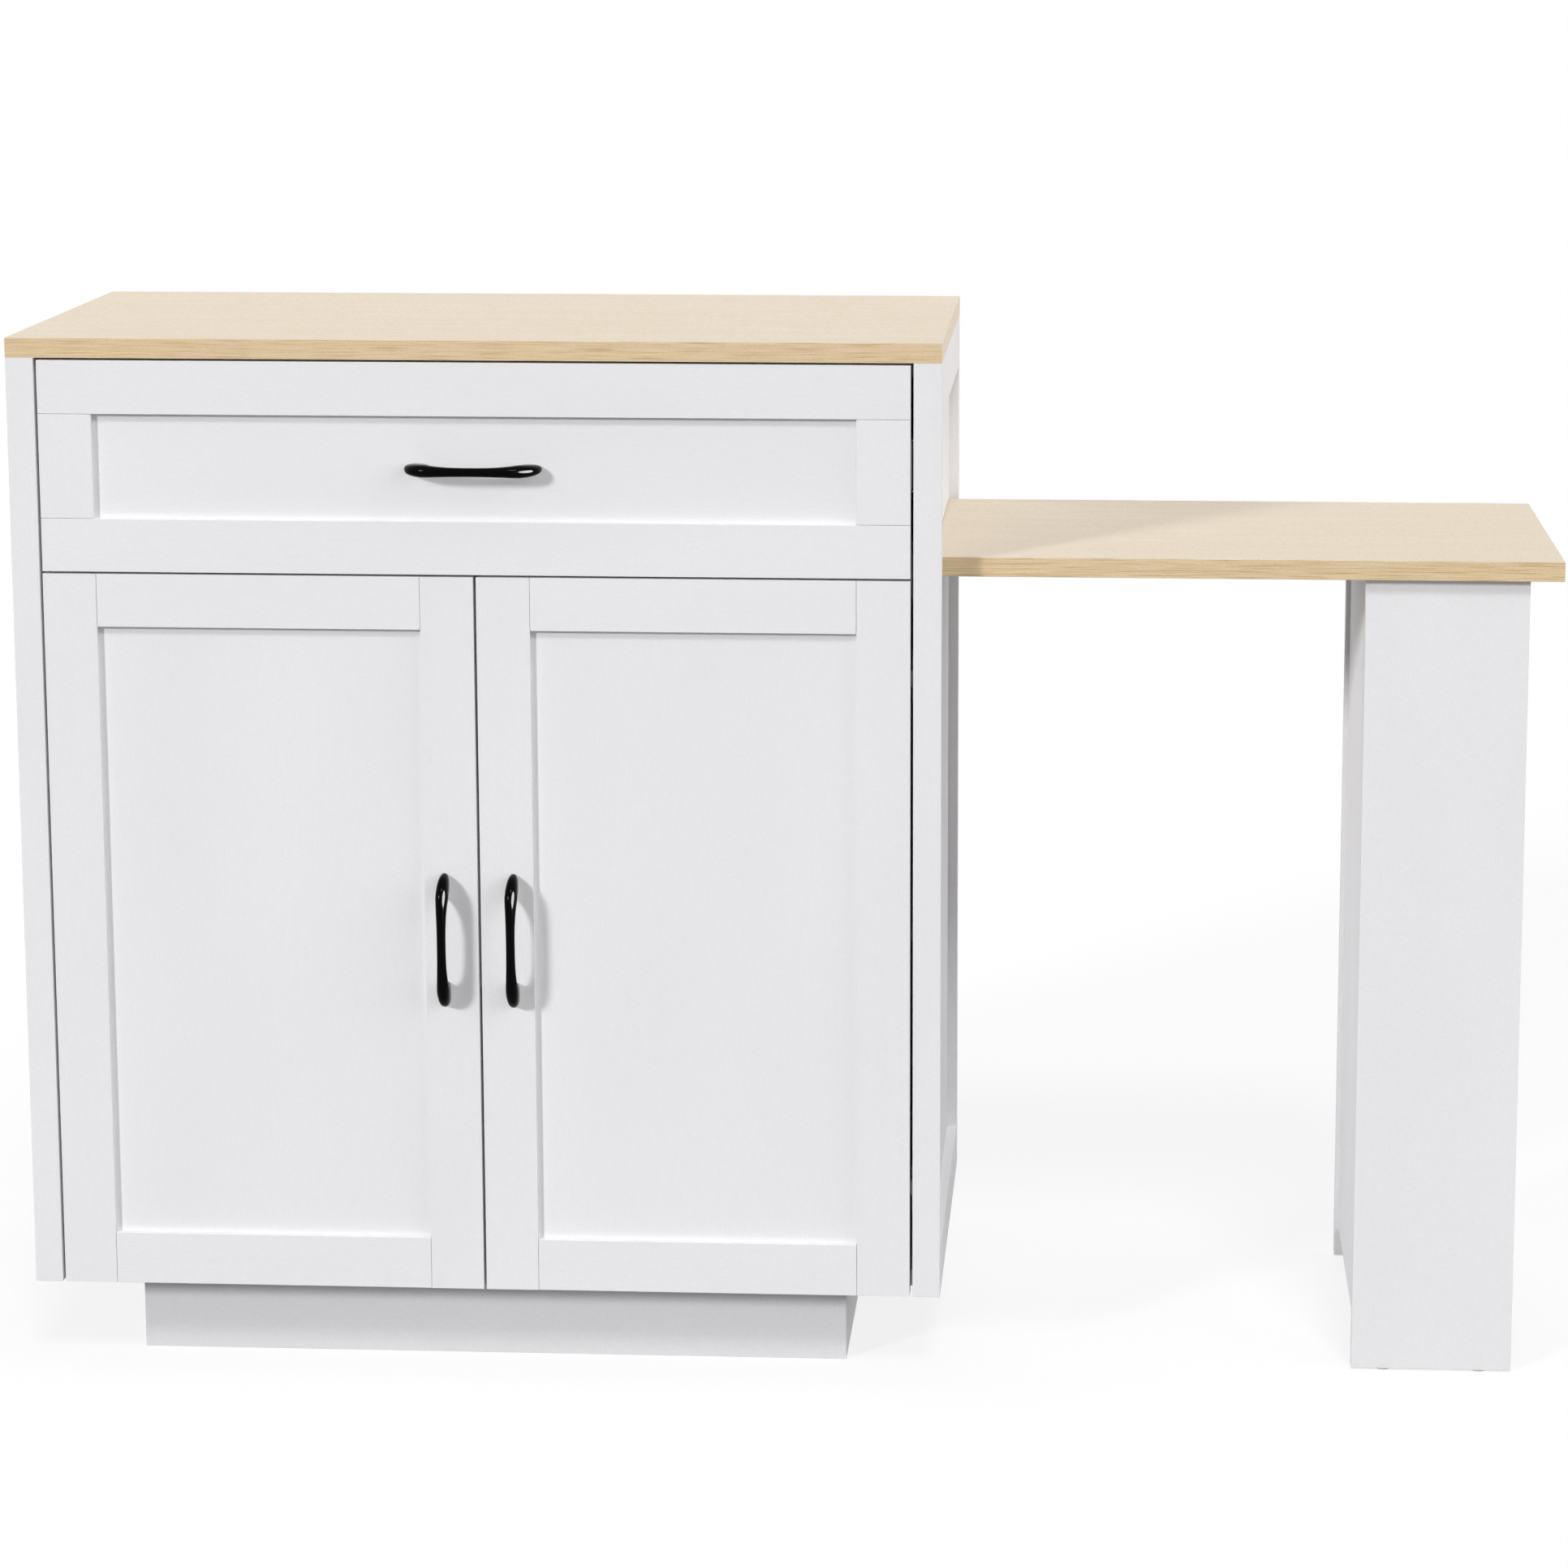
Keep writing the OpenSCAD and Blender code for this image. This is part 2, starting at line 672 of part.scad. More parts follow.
// A cup let into the stile, with a flange on its back and the hinge pin across its mouth
module hinge_cup() difference() {
    union() {
        translate([cup_x, front_t - cup_depth, 0])
            rotate([-90, 0, 0]) cylinder(r = cup_r, h = cup_depth + flange_t);
        board(
            [cup_x - flange_w / 2, cup_x + flange_w / 2],
            [front_t, front_t + flange_t],
            [-flange_h / 2, flange_h / 2]
        );
    }
    difference() {
        translate([cup_x, front_t - cup_depth + cup_wall, 0])
            rotate([-90, 0, 0]) cylinder(r = cup_r - cup_wall, h = cup_depth + flange_t);
        translate([pivot_x, pivot_depth, 0]) rod(pin_r, [-cup_r, cup_r]);
    }
    for (side = [-1, 1]) flange_screw(side) rod(hinge_hole_r, [-past, hinge_screw_l]);
}

// A screw through the cup's flange, with its Z into the door
module flange_screw(side) translate([cup_x, front_t + flange_t, side * cup_screw_z])
    rotate([90, 0, 0]) children();

// A screw through the plate, with its Z into the side panel
module plate_screw(side) translate([inner_x + plate_t, plate_y + plate_l / 2, side * plate_screw_z])
    rotate([0, -90, 0]) children();

module cup_screw_places() hinge_places() for (side = [-1, 1]) flange_screw(side) children();

module plate_screw_places() hinge_places() for (side = [-1, 1]) plate_screw(side) children();

module hinge_screw() {
    rod(hinge_screw_r, [-hinge_screw_head, hinge_screw_l]);
    rod(screw_head_ratio * hinge_screw_r, [-hinge_screw_head, 0]);
}

module arm_places() translate([pivot_x, pivot_depth, 0]) children();

// Points beside a path, d to its left, with mitred corners
function beside(path, d) = [for (i = [0:len(path) - 1]) let (
    u = i > 0 ? unit(path[i] - path[i - 1]) : unit(path[1] - path[0]),
    v = i < len(path) - 1 ? unit(path[i + 1] - path[i]) : u,
    m = unit(u + v),
    n = [-m[1], m[0]])
    path[i] + n * d / (n * [-u[1], u[0]])];

// A bent arm from the pin, round the door's swept corner, to a block and a plate on the side panel
module hinge_arm() {
    arm_places() difference() {
        translate([0, 0, -arm_half_h]) linear_extrude(2 * arm_half_h) union() {
            polygon(concat(beside(arm_path, arm_t / 2), backwards(beside(arm_path, -arm_t / 2))));
            circle(r = eye_r);
        }
        rod(pin_r + pin_clearance, [-arm_half_h - past, arm_half_h + past]);
    }
    plate_x = inner_x + plate_t;
    board([plate_x, plate_x + block_t], [plate_y, plate_y + plate_l], [-block_h / 2, block_h / 2]);
    difference() {
        board([inner_x, plate_x], [plate_y, plate_y + plate_l], [-plate_h / 2, plate_h / 2]);
        for (side = [-1, 1]) plate_screw(side) rod(hinge_hole_r, [-past, hinge_screw_l]);
    }
}

module hinge_screws() color(steel) placed() both_sides() plate_screw_places() hinge_screw();

module door_screws() {
    on_door() handle_screws_through(front_t);
    cup_screw_places() hinge_screw();
}

module strike() board(
    [catch_x - strike_size[0] / 2, catch_x + strike_size[0] / 2],
    [front_t, front_t + strike_size[1]],
    [runner_bottom - board_t - catch_size[2], runner_bottom - board_t - catch_size[2] + strike_size[2]]
);

module left_door_stiles() color(white) placed() door_stiles();

module left_door_rails() color(white) placed() door_rails();

module left_door_panel() color(white) placed() door_panel();

module left_door_handle() color(black) placed() on_door() handle();

module left_door_screws() color(steel) placed() door_screws();

module left_hinge_cups() color(steel) placed() hinge_places() hinge_cup();

module left_hinge_arms() color(steel) placed() hinge_places() hinge_arm();

module left_door_strike() color(steel) placed() strike();

module right_door_stiles() color(white) placed() opposite() door_stiles();

module right_door_rails() color(white) placed() opposite() door_rails();

module right_door_panel() color(white) placed() opposite() door_panel();

module right_door_handle() color(black) placed() opposite() on_door() handle();

module right_door_screws() color(steel) placed() opposite() door_screws();

module right_hinge_cups() color(steel) placed() opposite() hinge_places() hinge_cup();

module right_hinge_arms() color(steel) placed() opposite() hinge_places() hinge_arm();

module right_door_strike() color(steel) placed() opposite() strike();

module one_catch() board(
    [catch_x - catch_size[0] / 2, catch_x + catch_size[0] / 2],
    [catch_y, catch_y + catch_size[1]],
    [catch_z - catch_size[2], catch_z]
);

module magnetic_catches() color(nylon) placed() both_sides() one_catch();

// Pull-out table

module table_top() color(maple) placed() board([table_x0, table_x1], table_y, [table_bottom, table_z]);

module table_stop() color(white) placed() board(
    [cabinet_w - inner_x - runner_clearance - stop_w, cabinet_w - inner_x - runner_clearance],
    [table_y[0] + runner_lap + stop_side_gap, table_y[1] - runner_lap - stop_side_gap],
    [table_z, table_z + stop_h]
);

module leg_front_panel() color(white) placed()
    board([leg_x0, leg_x1], [leg_y[0], leg_y[0] + board_t], [glide_t, table_bottom]);

module leg_rear_panel() color(white) placed()
    board([leg_x0, leg_x1], [leg_y[1] - board_t, leg_y[1]], [glide_t, table_bottom]);

module leg_inner_panel() color(white) placed()
    board([leg_x0 + leg_panel_inset, leg_inner_x], leg_gap_y, [leg_panel_z, table_bottom]);

module leg_shelves() color(white) placed()
    for (i = [0:leg_shelves_n - 1])
        board([leg_inner_x, leg_x1 - leg_shelf_inset], leg_gap_y,
              [leg_panel_z + i * leg_pitch, leg_panel_z + i * leg_pitch + board_t]);

module leg_glides() color(nylon) placed()
    for (x = [leg_x0 + glide_inset, leg_x1 - glide_inset],
         y = [leg_y[0] + board_t / 2, leg_y[1] - board_t / 2])
        translate([x, y, 0]) rod(glide_r, [0, glide_t]);

// An angle bracket in the corner under the board; it stands against Y = 0 and runs along X
module bracket() {
    board([-bracket_w / 2, bracket_w / 2], [0, bracket_l], [table_bottom - bracket_t, table_bottom]);
    board([-bracket_w / 2, bracket_w / 2], [0, bracket_t], [table_bottom - bracket_l, table_bottom]);
}

module leg_brackets() color(steel) placed() {
    leg_mid = (leg_inner_x + leg_x1) / 2;
    translate([leg_mid, leg_gap_y[0], 0]) bracket();
    translate([leg_mid, leg_gap_y[1], 0]) mirror([0, 1, 0]) bracket();
    for (f = bracket_shares) translate([leg_inner_x, leg_y[0] + (leg_y[1] - leg_y[0]) * f, 0])
        rotate([0, 0, -90]) bracket();
}

countertop();
left_side_panel();
right_side_panel();
front_posts();
rear_posts();
left_side_rails();
right_side_rails();
bottom_panel();
bay_floor();
back_panel();
back_rails();
top_stretchers();
plinth_front();
plinth_rear();
plinth_sides();
plinth_blocks();
shelf();
shelf_pins();
front_table_runner();
rear_table_runner();
runner_screws();
countertop_screws();
drawer_slide_outers();
drawer_slide_middles();
drawer_slide_inners();
left_hinge_arms();
right_hinge_arms();
hinge_screws();
magnetic_catches();
drawer_front_rails();
drawer_front_stiles();
drawer_front_panel();
drawer_inner_front();
drawer_sides();
drawer_back();
drawer_bottom();
drawer_handle();
drawer_handle_screws();
left_door_stiles();
left_door_rails();
left_door_panel();
left_door_handle();
left_door_screws();
left_hinge_cups();
left_door_strike();
right_door_stiles();
right_door_rails();
right_door_panel();
right_door_handle();
right_door_screws();
right_hinge_cups();
right_door_strike();
table_top();
table_stop();
leg_front_panel();
leg_rear_panel();
leg_inner_panel();
leg_shelves();
leg_glides();
leg_brackets();
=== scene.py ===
"""Looks of a kitchen island with a pull-out table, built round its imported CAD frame.

Lengths in the code are metres. The origin is on the floor under the middle of the island,
+X is the way the table pulls out, +Y runs to the back and +Z up.
"""

import json
import math

import bmesh
import bpy
import numpy as np
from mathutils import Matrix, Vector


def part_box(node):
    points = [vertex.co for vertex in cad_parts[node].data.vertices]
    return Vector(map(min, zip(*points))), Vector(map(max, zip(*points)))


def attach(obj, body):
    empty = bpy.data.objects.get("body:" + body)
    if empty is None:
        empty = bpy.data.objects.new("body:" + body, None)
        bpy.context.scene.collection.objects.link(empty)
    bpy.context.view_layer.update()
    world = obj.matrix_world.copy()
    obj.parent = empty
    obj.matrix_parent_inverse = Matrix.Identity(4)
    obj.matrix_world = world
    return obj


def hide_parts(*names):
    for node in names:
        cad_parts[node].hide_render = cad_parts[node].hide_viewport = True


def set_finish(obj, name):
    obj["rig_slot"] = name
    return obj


bl_info = {
    "name": "Kitchen Island with Pull-out Table",
    "version": (1, 0, 0),
    "blender": (4, 5, 0),
    "location": "3D View > Sidebar > Island",
    "description": "Builds the finished pieces of a kitchen island with a pull-out table",
    "category": "Object",
}

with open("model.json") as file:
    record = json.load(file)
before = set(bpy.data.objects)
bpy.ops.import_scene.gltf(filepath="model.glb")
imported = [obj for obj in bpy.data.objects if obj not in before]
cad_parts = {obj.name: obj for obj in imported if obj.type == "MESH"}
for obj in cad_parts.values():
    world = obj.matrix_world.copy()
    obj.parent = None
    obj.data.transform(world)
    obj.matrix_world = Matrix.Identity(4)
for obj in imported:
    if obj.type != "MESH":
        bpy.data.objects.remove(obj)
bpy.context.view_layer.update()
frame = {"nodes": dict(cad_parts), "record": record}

MM = 0.001
AXES = "XYZ"
# Points of a mesh that lie closer than this are one point
WELD = 0.002 * MM
# Faces that turn by less than FLAT are joined, and edges that turn by more than SHARP are rounded
FLAT = math.radians(0.5)
SHARP = math.radians(40)


# Colours and nodes


def linear(code):
    """Linear RGBA of an sRGB hex colour."""
    parts = [int(code[i : i + 2], 16) / 255 for i in (1, 3, 5)]
    return (*(c / 12.92 if c <= 0.04045 else ((c + 0.055) / 1.055) ** 2.4 for c in parts), 1.0)


def put(tree, kind, inputs=None, **settings):
    """Adds a shader node. Settings are its own properties, inputs its sockets' values or links."""
    node = tree.nodes.new("ShaderNode" + kind)
    for name, value in settings.items():
        setattr(node, name, value)
    for name, value in (inputs or {}).items():
        if isinstance(value, bpy.types.NodeSocket):
            tree.links.new(value, node.inputs[name])
        else:
            node.inputs[name].default_value = value
    return node


def begin(name, **sockets):
    """A new material with its node tree and its Principled shader."""
    material = bpy.data.materials.new(name)
    material.use_nodes = True
    tree = material.node_tree
    tree.nodes.clear()
    shader = put(tree, "BsdfPrincipled", {k.replace("_", " "): v for k, v in sockets.items()})
    put(tree, "OutputMaterial", {"Surface": shader.outputs["BSDF"]})
    return material, tree, shader


def streaks(tree, axis, across, along, low=0.0, high=1.0, detail=3.0, twist=0.0, seed=0.0):
    """Noise drawn out along an axis: across and along are the width and length of one streak. Its
    part between low and high is stretched to run from 0 to 1, and another seed takes another
    part of the noise."""
    scale = [1 / across] * 3
    scale[AXES.index(axis)] = 1 / along
    start = (seed, seed * 1.7, seed * 2.3)
    place = put(tree, "TexCoord")
    turn = put(tree, "Mapping", {"Vector": place.outputs["Object"], "Scale": scale, "Location": start})
    noise = put(
        tree,
        "TexNoise",
        {"Vector": turn.outputs["Vector"], "Scale": 1.0, "Detail": detail, "Distortion": twist},
    )
    part = put(tree, "MapRange", {"Value": noise.outputs["Fac"], "From Min": low, "From Max": high})
    return part.outputs["Result"]


def layer(tree, tone, cover, pattern, low=0.0, high=1.0, least=0.0, most=1.0):
    """A tone with a second one over it, whose share goes from least to most as a pattern rises
    from low to high."""
    share = put(
        tree,
        "MapRange",
        {"Value": pattern, "From Min": low, "From Max": high, "To Min": least, "To Max": most},
    )
    both = put(tree, "Mix", {"Factor": share.outputs["Result"], "A": tone, "B": cover}, data_type="RGBA")
    return both.outputs["Result"]


# Materials


def white_melamine(axis):
    """Melamine-faced board, pressed with a wood-pore plate: a satin cool white with a fine even
    speckle and shallow pores that run along the board, whose hollows carry painted shade."""
    colours = bpy.context.scene.island_colours
    name = "white_melamine_along_" + axis.lower()
    material, tree, shader = begin(name, IOR=1.5, Specular_IOR_Level=0.3)
    # Real pores are about 0.2 mm wide; these are 0.7 mm so that they show
    pores = streaks(tree, axis, 0.7 * MM, 9 * MM, low=0.5, high=0.68)
    speckle = streaks(tree, axis, 0.9 * MM, 1.8 * MM, detail=2.0, seed=3.0)
    cloud = streaks(tree, axis, 120 * MM, 400 * MM, detail=1.0, seed=8.0)
    tone = layer(tree, colours.melamine, colours.melamine_shade, cloud, low=0.3, high=0.7)
    tone = layer(tree, tone, colours.melamine_speckle_and_pore_shade, speckle, low=0.35, high=0.65, most=0.34)
    # Painted shade: the hollows of the pores are painted a tone darker than the face
    tone = layer(tree, tone, colours.melamine_speckle_and_pore_shade, pores, most=0.2)
    tree.links.new(tone, shader.inputs["Base Color"])
    rough = {"Value": speckle, "From Min": 0.3, "From Max": 0.7, "To Min": 0.58, "To Max": 0.68}
    tree.links.new(put(tree, "MapRange", rough).outputs["Result"], shader.inputs["Roughness"])
    grit = put(tree, "Bump", {"Height": speckle, "Strength": 0.06, "Distance": 0.1 * MM})
    emboss = put(
        tree,
        "Bump",
        {"Height": pores, "Strength": 0.2, "Distance": 0.1 * MM, "Normal": grit.outputs["Normal"]},
        invert=True,
    )
    tree.links.new(emboss.outputs["Normal"], shader.inputs["Normal"])
    return material


def maple_laminate(axis):
    """Laminate with a printed pale maple, satin lacquered: creamy beige with a faint long figure,
    many short fine flecks and hardly any relief."""
    colours = bpy.context.scene.island_colours
    name = "maple_laminate_along_" + axis.lower()
    material, tree, shader = begin(name, IOR=1.5, Specular_IOR_Level=0.3)
    figure = streaks(tree, axis, 18 * MM, 500 * MM, twist=0.7, seed=1.0)
    lines = streaks(tree, axis, 1.4 * MM, 60 * MM, low=0.42, high=0.66, twist=0.2, seed=5.0)
    # Maple's flecks are about 0.3 mm wide; these are 1.4 mm so that they show
    flecks = streaks(tree, axis, 1.4 * MM, 3.2 * MM, low=0.45, high=0.68, seed=9.0)
    tone = layer(tree, colours.maple, colours.maple_light, figure, low=0.32, high=0.7)
    tone = layer(tree, tone, colours.maple_line, lines, most=0.5)
    tone = layer(tree, tone, colours.maple_fleck, flecks, most=0.6)
    tree.links.new(tone, shader.inputs["Base Color"])
    rough = {"Value": lines, "To Min": 0.55, "To Max": 0.63}
    tree.links.new(put(tree, "MapRange", rough).outputs["Result"], shader.inputs["Roughness"])
    emboss = put(tree, "Bump", {"Height": flecks, "Strength": 0.2, "Distance": 0.08 * MM}, invert=True)
    tree.links.new(emboss.outputs["Normal"], shader.inputs["Normal"])
    return material


def maple_edge_band(axis):
    """Edge band printed as maple end to end: deeper yellow than the face, with thin dark pore
    lines that run along the edge."""
    colours = bpy.context.scene.island_colours
    material, tree, shader = begin("maple_edge_band_along_" + axis.lower(), Roughness=0.45, IOR=1.5)
    bands = streaks(tree, axis, 1.5 * MM, 320 * MM, detail=2.0, twist=0.1, seed=2.0)
    # Pore lines are about 0.2 mm wide; these are 0.6 mm so that they show
    lines = streaks(tree, axis, 0.6 * MM, 45 * MM, low=0.5, high=0.64, seed=4.0)
    flecks = streaks(tree, axis, 0.8 * MM, 2.5 * MM, detail=2.0, seed=9.0)
    tone = layer(tree, colours.edge, colours.edge_light, bands, low=0.34, high=0.68, least=0.3, most=0.7)
    tone = layer(tree, tone, colours.edge_line, flecks, low=0.45, high=0.7, most=0.25)
    tone = layer(tree, tone, colours.edge_line, lines, most=0.8)
    tree.links.new(tone, shader.inputs["Base Color"])
    emboss = put(tree, "Bump", {"Height": lines, "Strength": 0.3, "Distance": 0.1 * MM}, invert=True)
    tree.links.new(emboss.outputs["Normal"], shader.inputs["Normal"])
    return material


def black_enamel():
    """Stove enamel sprayed on a zinc casting: deep black, glossy, with the faint waviness of
    a thick coat."""
    colours = bpy.context.scene.island_colours
    material, tree, shader = begin(
        "black_stove_enamel", Base_Color=colours.enamel, Specular_IOR_Level=0.04
    )
    peel = streaks(tree, "X", 2.4 * MM, 2.4 * MM, detail=2.0)
    wave = put(tree, "Bump", {"Height": peel, "Strength": 0.08, "Distance": 0.1 * MM})
    tree.links.new(wave.outputs["Normal"], shader.inputs["Normal"])
    rough = {"Value": peel, "From Min": 0.3, "From Max": 0.7, "To Min": 0.08, "To Max": 0.14}
    tree.links.new(put(tree, "MapRange", rough).outputs["Result"], shader.inputs["Roughness"])
    return material


def zinc_plate(axis):
    """Rolled steel, bright zinc plated: pale grey metal with drawing marks along the strip and
    a slightly uneven sheen."""
    colours = bpy.context.scene.island_colours
    material, tree, shader = begin("zinc_plated_steel_along_" + axis.lower(), Metallic=1.0)
    marks = streaks(tree, axis, 0.6 * MM, 40 * MM)
    sheen = streaks(tree, axis, 12 * MM, 30 * MM, detail=2.0, twist=0.5, seed=6.0)
    tone = layer(tree, colours.zinc, colours.zinc_dull, sheen, low=0.3, high=0.7)
    tree.links.new(tone, shader.inputs["Base Color"])
    rough = {"Value": marks, "From Min": 0.3, "From Max": 0.7, "To Min": 0.28, "To Max": 0.42}
    tree.links.new(put(tree, "MapRange", rough).outputs["Result"], shader.inputs["Roughness"])
    scratch = put(tree, "Bump", {"Height": marks, "Strength": 0.15, "Distance": 0.05 * MM})
    tree.links.new(scratch.outputs["Normal"], shader.inputs["Normal"])
    return material


def moulded_nylon():
    """Nylon, injection moulded in a spark-eroded tool: off-white, matt, with a fine even grit."""
    colours = bpy.context.scene.island_colours
    material, tree, shader = begin("moulded_nylon", Base_Color=colours.nylon, IOR=1.53)
    grit = streaks(tree, "X", 0.7 * MM, 0.7 * MM, detail=2.0)
    skin = put(tree, "Bump", {"Height": grit, "Strength": 0.25, "Distance": 0.06 * MM})
    tree.links.new(skin.outputs["Normal"], shader.inputs["Normal"])
    rough = {"Value": grit, "From Min": 0.3, "From Max": 0.7, "To Min": 0.46, "To Max": 0.56}
    tree.links.new(put(tree, "MapRange", rough).outputs["Result"], shader.inputs["Roughness"])
    return material


def painted_hardboard():
    """Hardboard, smooth side roller painted white: matt, with a faint mottle of pressed fibres."""
    colours = bpy.context.scene.island_colours
    material, tree, shader = begin("painted_hardboard", Roughness=0.6, IOR=1.5)
    fibres = streaks(tree, "X", 1.6 * MM, 4.5 * MM, detail=4.0, twist=1.2)
    mottle = streaks(tree, "Z", 40 * MM, 70 * MM, detail=4.0, twist=0.6, seed=7.0)
    tone = layer(tree, colours.hardboard, colours.hardboard_shade, mottle, low=0.35, high=0.65)
    tone = layer(tree, tone, colours.hardboard_fibre, fibres, low=0.55, high=0.75, most=0.3)
    tree.links.new(tone, shader.inputs["Base Color"])
    felt = put(tree, "Bump", {"Height": fibres, "Strength": 0.3, "Distance": 0.1 * MM})
    tree.links.new(felt.outputs["Normal"], shader.inputs["Normal"])
    return material


def sawn_pine():
    """Pine, band sawn and left raw: warm yellow with darker latewood bands, rough to the light."""
    colours = bpy.context.scene.island_colours
    material, tree, shader = begin("sawn_pine", Roughness=0.75, IOR=1.5)
    bands = streaks(tree, "Z", 3.5 * MM, 180 * MM, detail=2.0, twist=0.5)
    tone = layer(tree, colours.pine, colours.pine_band, bands, low=0.42, high=0.62)
    tree.links.new(tone, shader.inputs["Base Color"])
    saw = streaks(tree, "X", 1.1 * MM, 30 * MM, detail=2.0, seed=2.0)
    marks = put(tree, "Bump", {"Height": saw, "Strength": 0.5, "Distance": 0.25 * MM})
    tree.links.new(marks.outputs["Normal"], shader.inputs["Normal"])
    return material


# For each finish the function that makes its material, and the material slot it fills
FINISHES = {
    "white": (white_melamine, "white_laminate"),
    "maple": (maple_laminate, "maple_laminate"),
    "edge": (maple_edge_band, "maple_laminate"),
    "enamel": (black_enamel, "black_enamel"),
    "zinc": (zinc_plate, "steel"),
    "nylon": (moulded_nylon, "nylon"),
    "hardboard": (painted_hardboard, "hardboard"),
    "pine": (sawn_pine, "pine"),
}
made = {}


def finish(name):
    """The material of a finish such as "enamel", or "white Z" where it runs along an axis."""
    if name not in made:
        kind, *axis = name.split()
        made[name] = FINISHES[kind][0](*axis)
    return made[name]


def slot_of(name):
    """The material slot of a finish."""
    return FINISHES[name.split()[0]][1]


# Meshes


def new_piece(name, body, finishes, points, faces, nodes=(), smooth=True):
    """A mesh object from points and faces, which rides on a body and stands for CAD nodes. The
    first of its finishes names its material slot."""
    mesh = bpy.data.meshes.new(name)
    mesh.from_pydata(np.asarray(points, float).tolist(), [], [list(f) for f in faces])
    mesh.polygons.foreach_set("use_smooth", [smooth] * len(mesh.polygons))
    piece = bpy.data.objects.new(name, mesh)
    bpy.context.scene.collection.objects.link(piece)
    for f in finishes:
        mesh.materials.append(finish(f))
    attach(piece, body)
    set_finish(piece, slot_of(finishes[0]))
    if nodes:
        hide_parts(*nodes)
    return piece


def merged(node):
    """Points and faces of a CAD node with its doubles merged and its flat faces joined."""
    shape = bmesh.new()
    shape.from_mesh(frame["nodes"][node].data)
    bmesh.ops.remove_doubles(shape, verts=shape.verts, dist=WELD)
    bmesh.ops.dissolve_limit(shape, angle_limit=FLAT, verts=shape.verts, edges=shape.edges)
    shape.verts.index_update()
    points = np.array([v.co for v in shape.verts])
    faces = [[v.index for v in f.verts] for f in shape.faces]
    shape.free()
    return points, faces


def round_edges(piece, width, segments=3):
    """Rounds a piece's sharp edges by a bevel of that width."""
    bevel = piece.modifiers.new("eased_edges", "BEVEL")
    bevel.width = width
    bevel.segments = segments
    bevel.limit_method = "ANGLE"
    bevel.angle_limit = SHARP
    bevel.harden_normals = True


def eased(node, finishes, width, segments=3, joints="", gap=0):
    """A CAD node's own shape with softly rounded edges. With several finishes, the second and
    third go on the faces that look along X and along Y. Joints are the axes along which the
    piece ends a gap short, for the dark line where it butts on the next one. A piece without
    rounding is shaded flat."""
    points, faces = merged(node)
    for axis in joints:
        line = points[:, AXES.index(axis)]
        low, high = line.min(), line.max()
        line += ((low + high) / 2 - line) * 2 * gap / (high - low)
    piece = new_piece("eased_" + node, body_of(node), finishes, points, faces, [node], width > 0)
    if width:
        round_edges(piece, width, segments)
    if len(finishes) > 1:
        normals = np.zeros(len(piece.data.polygons) * 3)
        piece.data.polygons.foreach_get("normal", normals)
        along = np.abs(normals.reshape(-1, 3)).argmax(1)
        piece.data.polygons.foreach_set("material_index", np.choose(along, [1, 2, 0]).tolist())
    return piece


def body_of(node):
    """The CAD body that holds a node."""
    return next(b for b, nodes in frame["record"]["behaviour"]["bodies"].items() if node in nodes)


def repaint(node, name):
    """Gives a CAD node another material and leaves its shape alone."""
    piece = frame["nodes"][node]
    piece.data.materials.clear()
    piece.data.materials.append(finish(name))
    piece["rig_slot"] = slot_of(name)


def grid_faces(rows, columns):
    """Four-sided faces between the neighbours of a grid of points, its columns closed to a ring."""
    i, j = np.meshgrid(np.arange(rows - 1), np.arange(columns), indexing="ij")
    here, below = i * columns, (i + 1) * columns
    k = (j + 1) % columns
    return np.stack([here + j, here + k, below + k, below + j], -1).reshape(-1, 4).tolist()


def islands(node):
    """Lowest and highest corners of each separate solid in a CAD node."""
    shape = bmesh.new()
    shape.from_mesh(frame["nodes"][node].data)
    bmesh.ops.remove_doubles(shape, verts=shape.verts, dist=WELD)
    left = set(shape.verts)
    found = []
    while left:
        group = [left.pop()]
        for v in group:
            near = [e.other_vert(v) for e in v.link_edges if e.other_vert(v) in left]
            left.difference_update(near)
            group += near
        places = np.array([v.co for v in group])
        found.append((places.min(0), places.max(0)))
    shape.free()
    return sorted(found, key=lambda box: tuple(box[0]))


def join(parts):
    """One list of points and one of faces from several."""
    points, faces, start = [], [], 0
    for some_points, some_faces in parts:
        points.append(some_points)
        faces += [[v + start for v in f] for f in some_faces]
        start += len(some_points)
    return np.concatenate(points), faces


# Shapes


# Power of the cosine and the sine in a bow handle's centre line; at 1 it is half an ellipse
BOW_POWER = 0.7
# A bow handle is widest at this share of its half span and widens towards it with this power
LOBE_PLACE = 0.84
LOBE_POWER = 2.6
# How much the power of a bow handle's oval section grows from the ellipse's 2 to its feet
FULLNESS = 0.5
# Points along a bow handle's centre line from which its evenly spaced stations are taken
FINE_STEPS = 4001


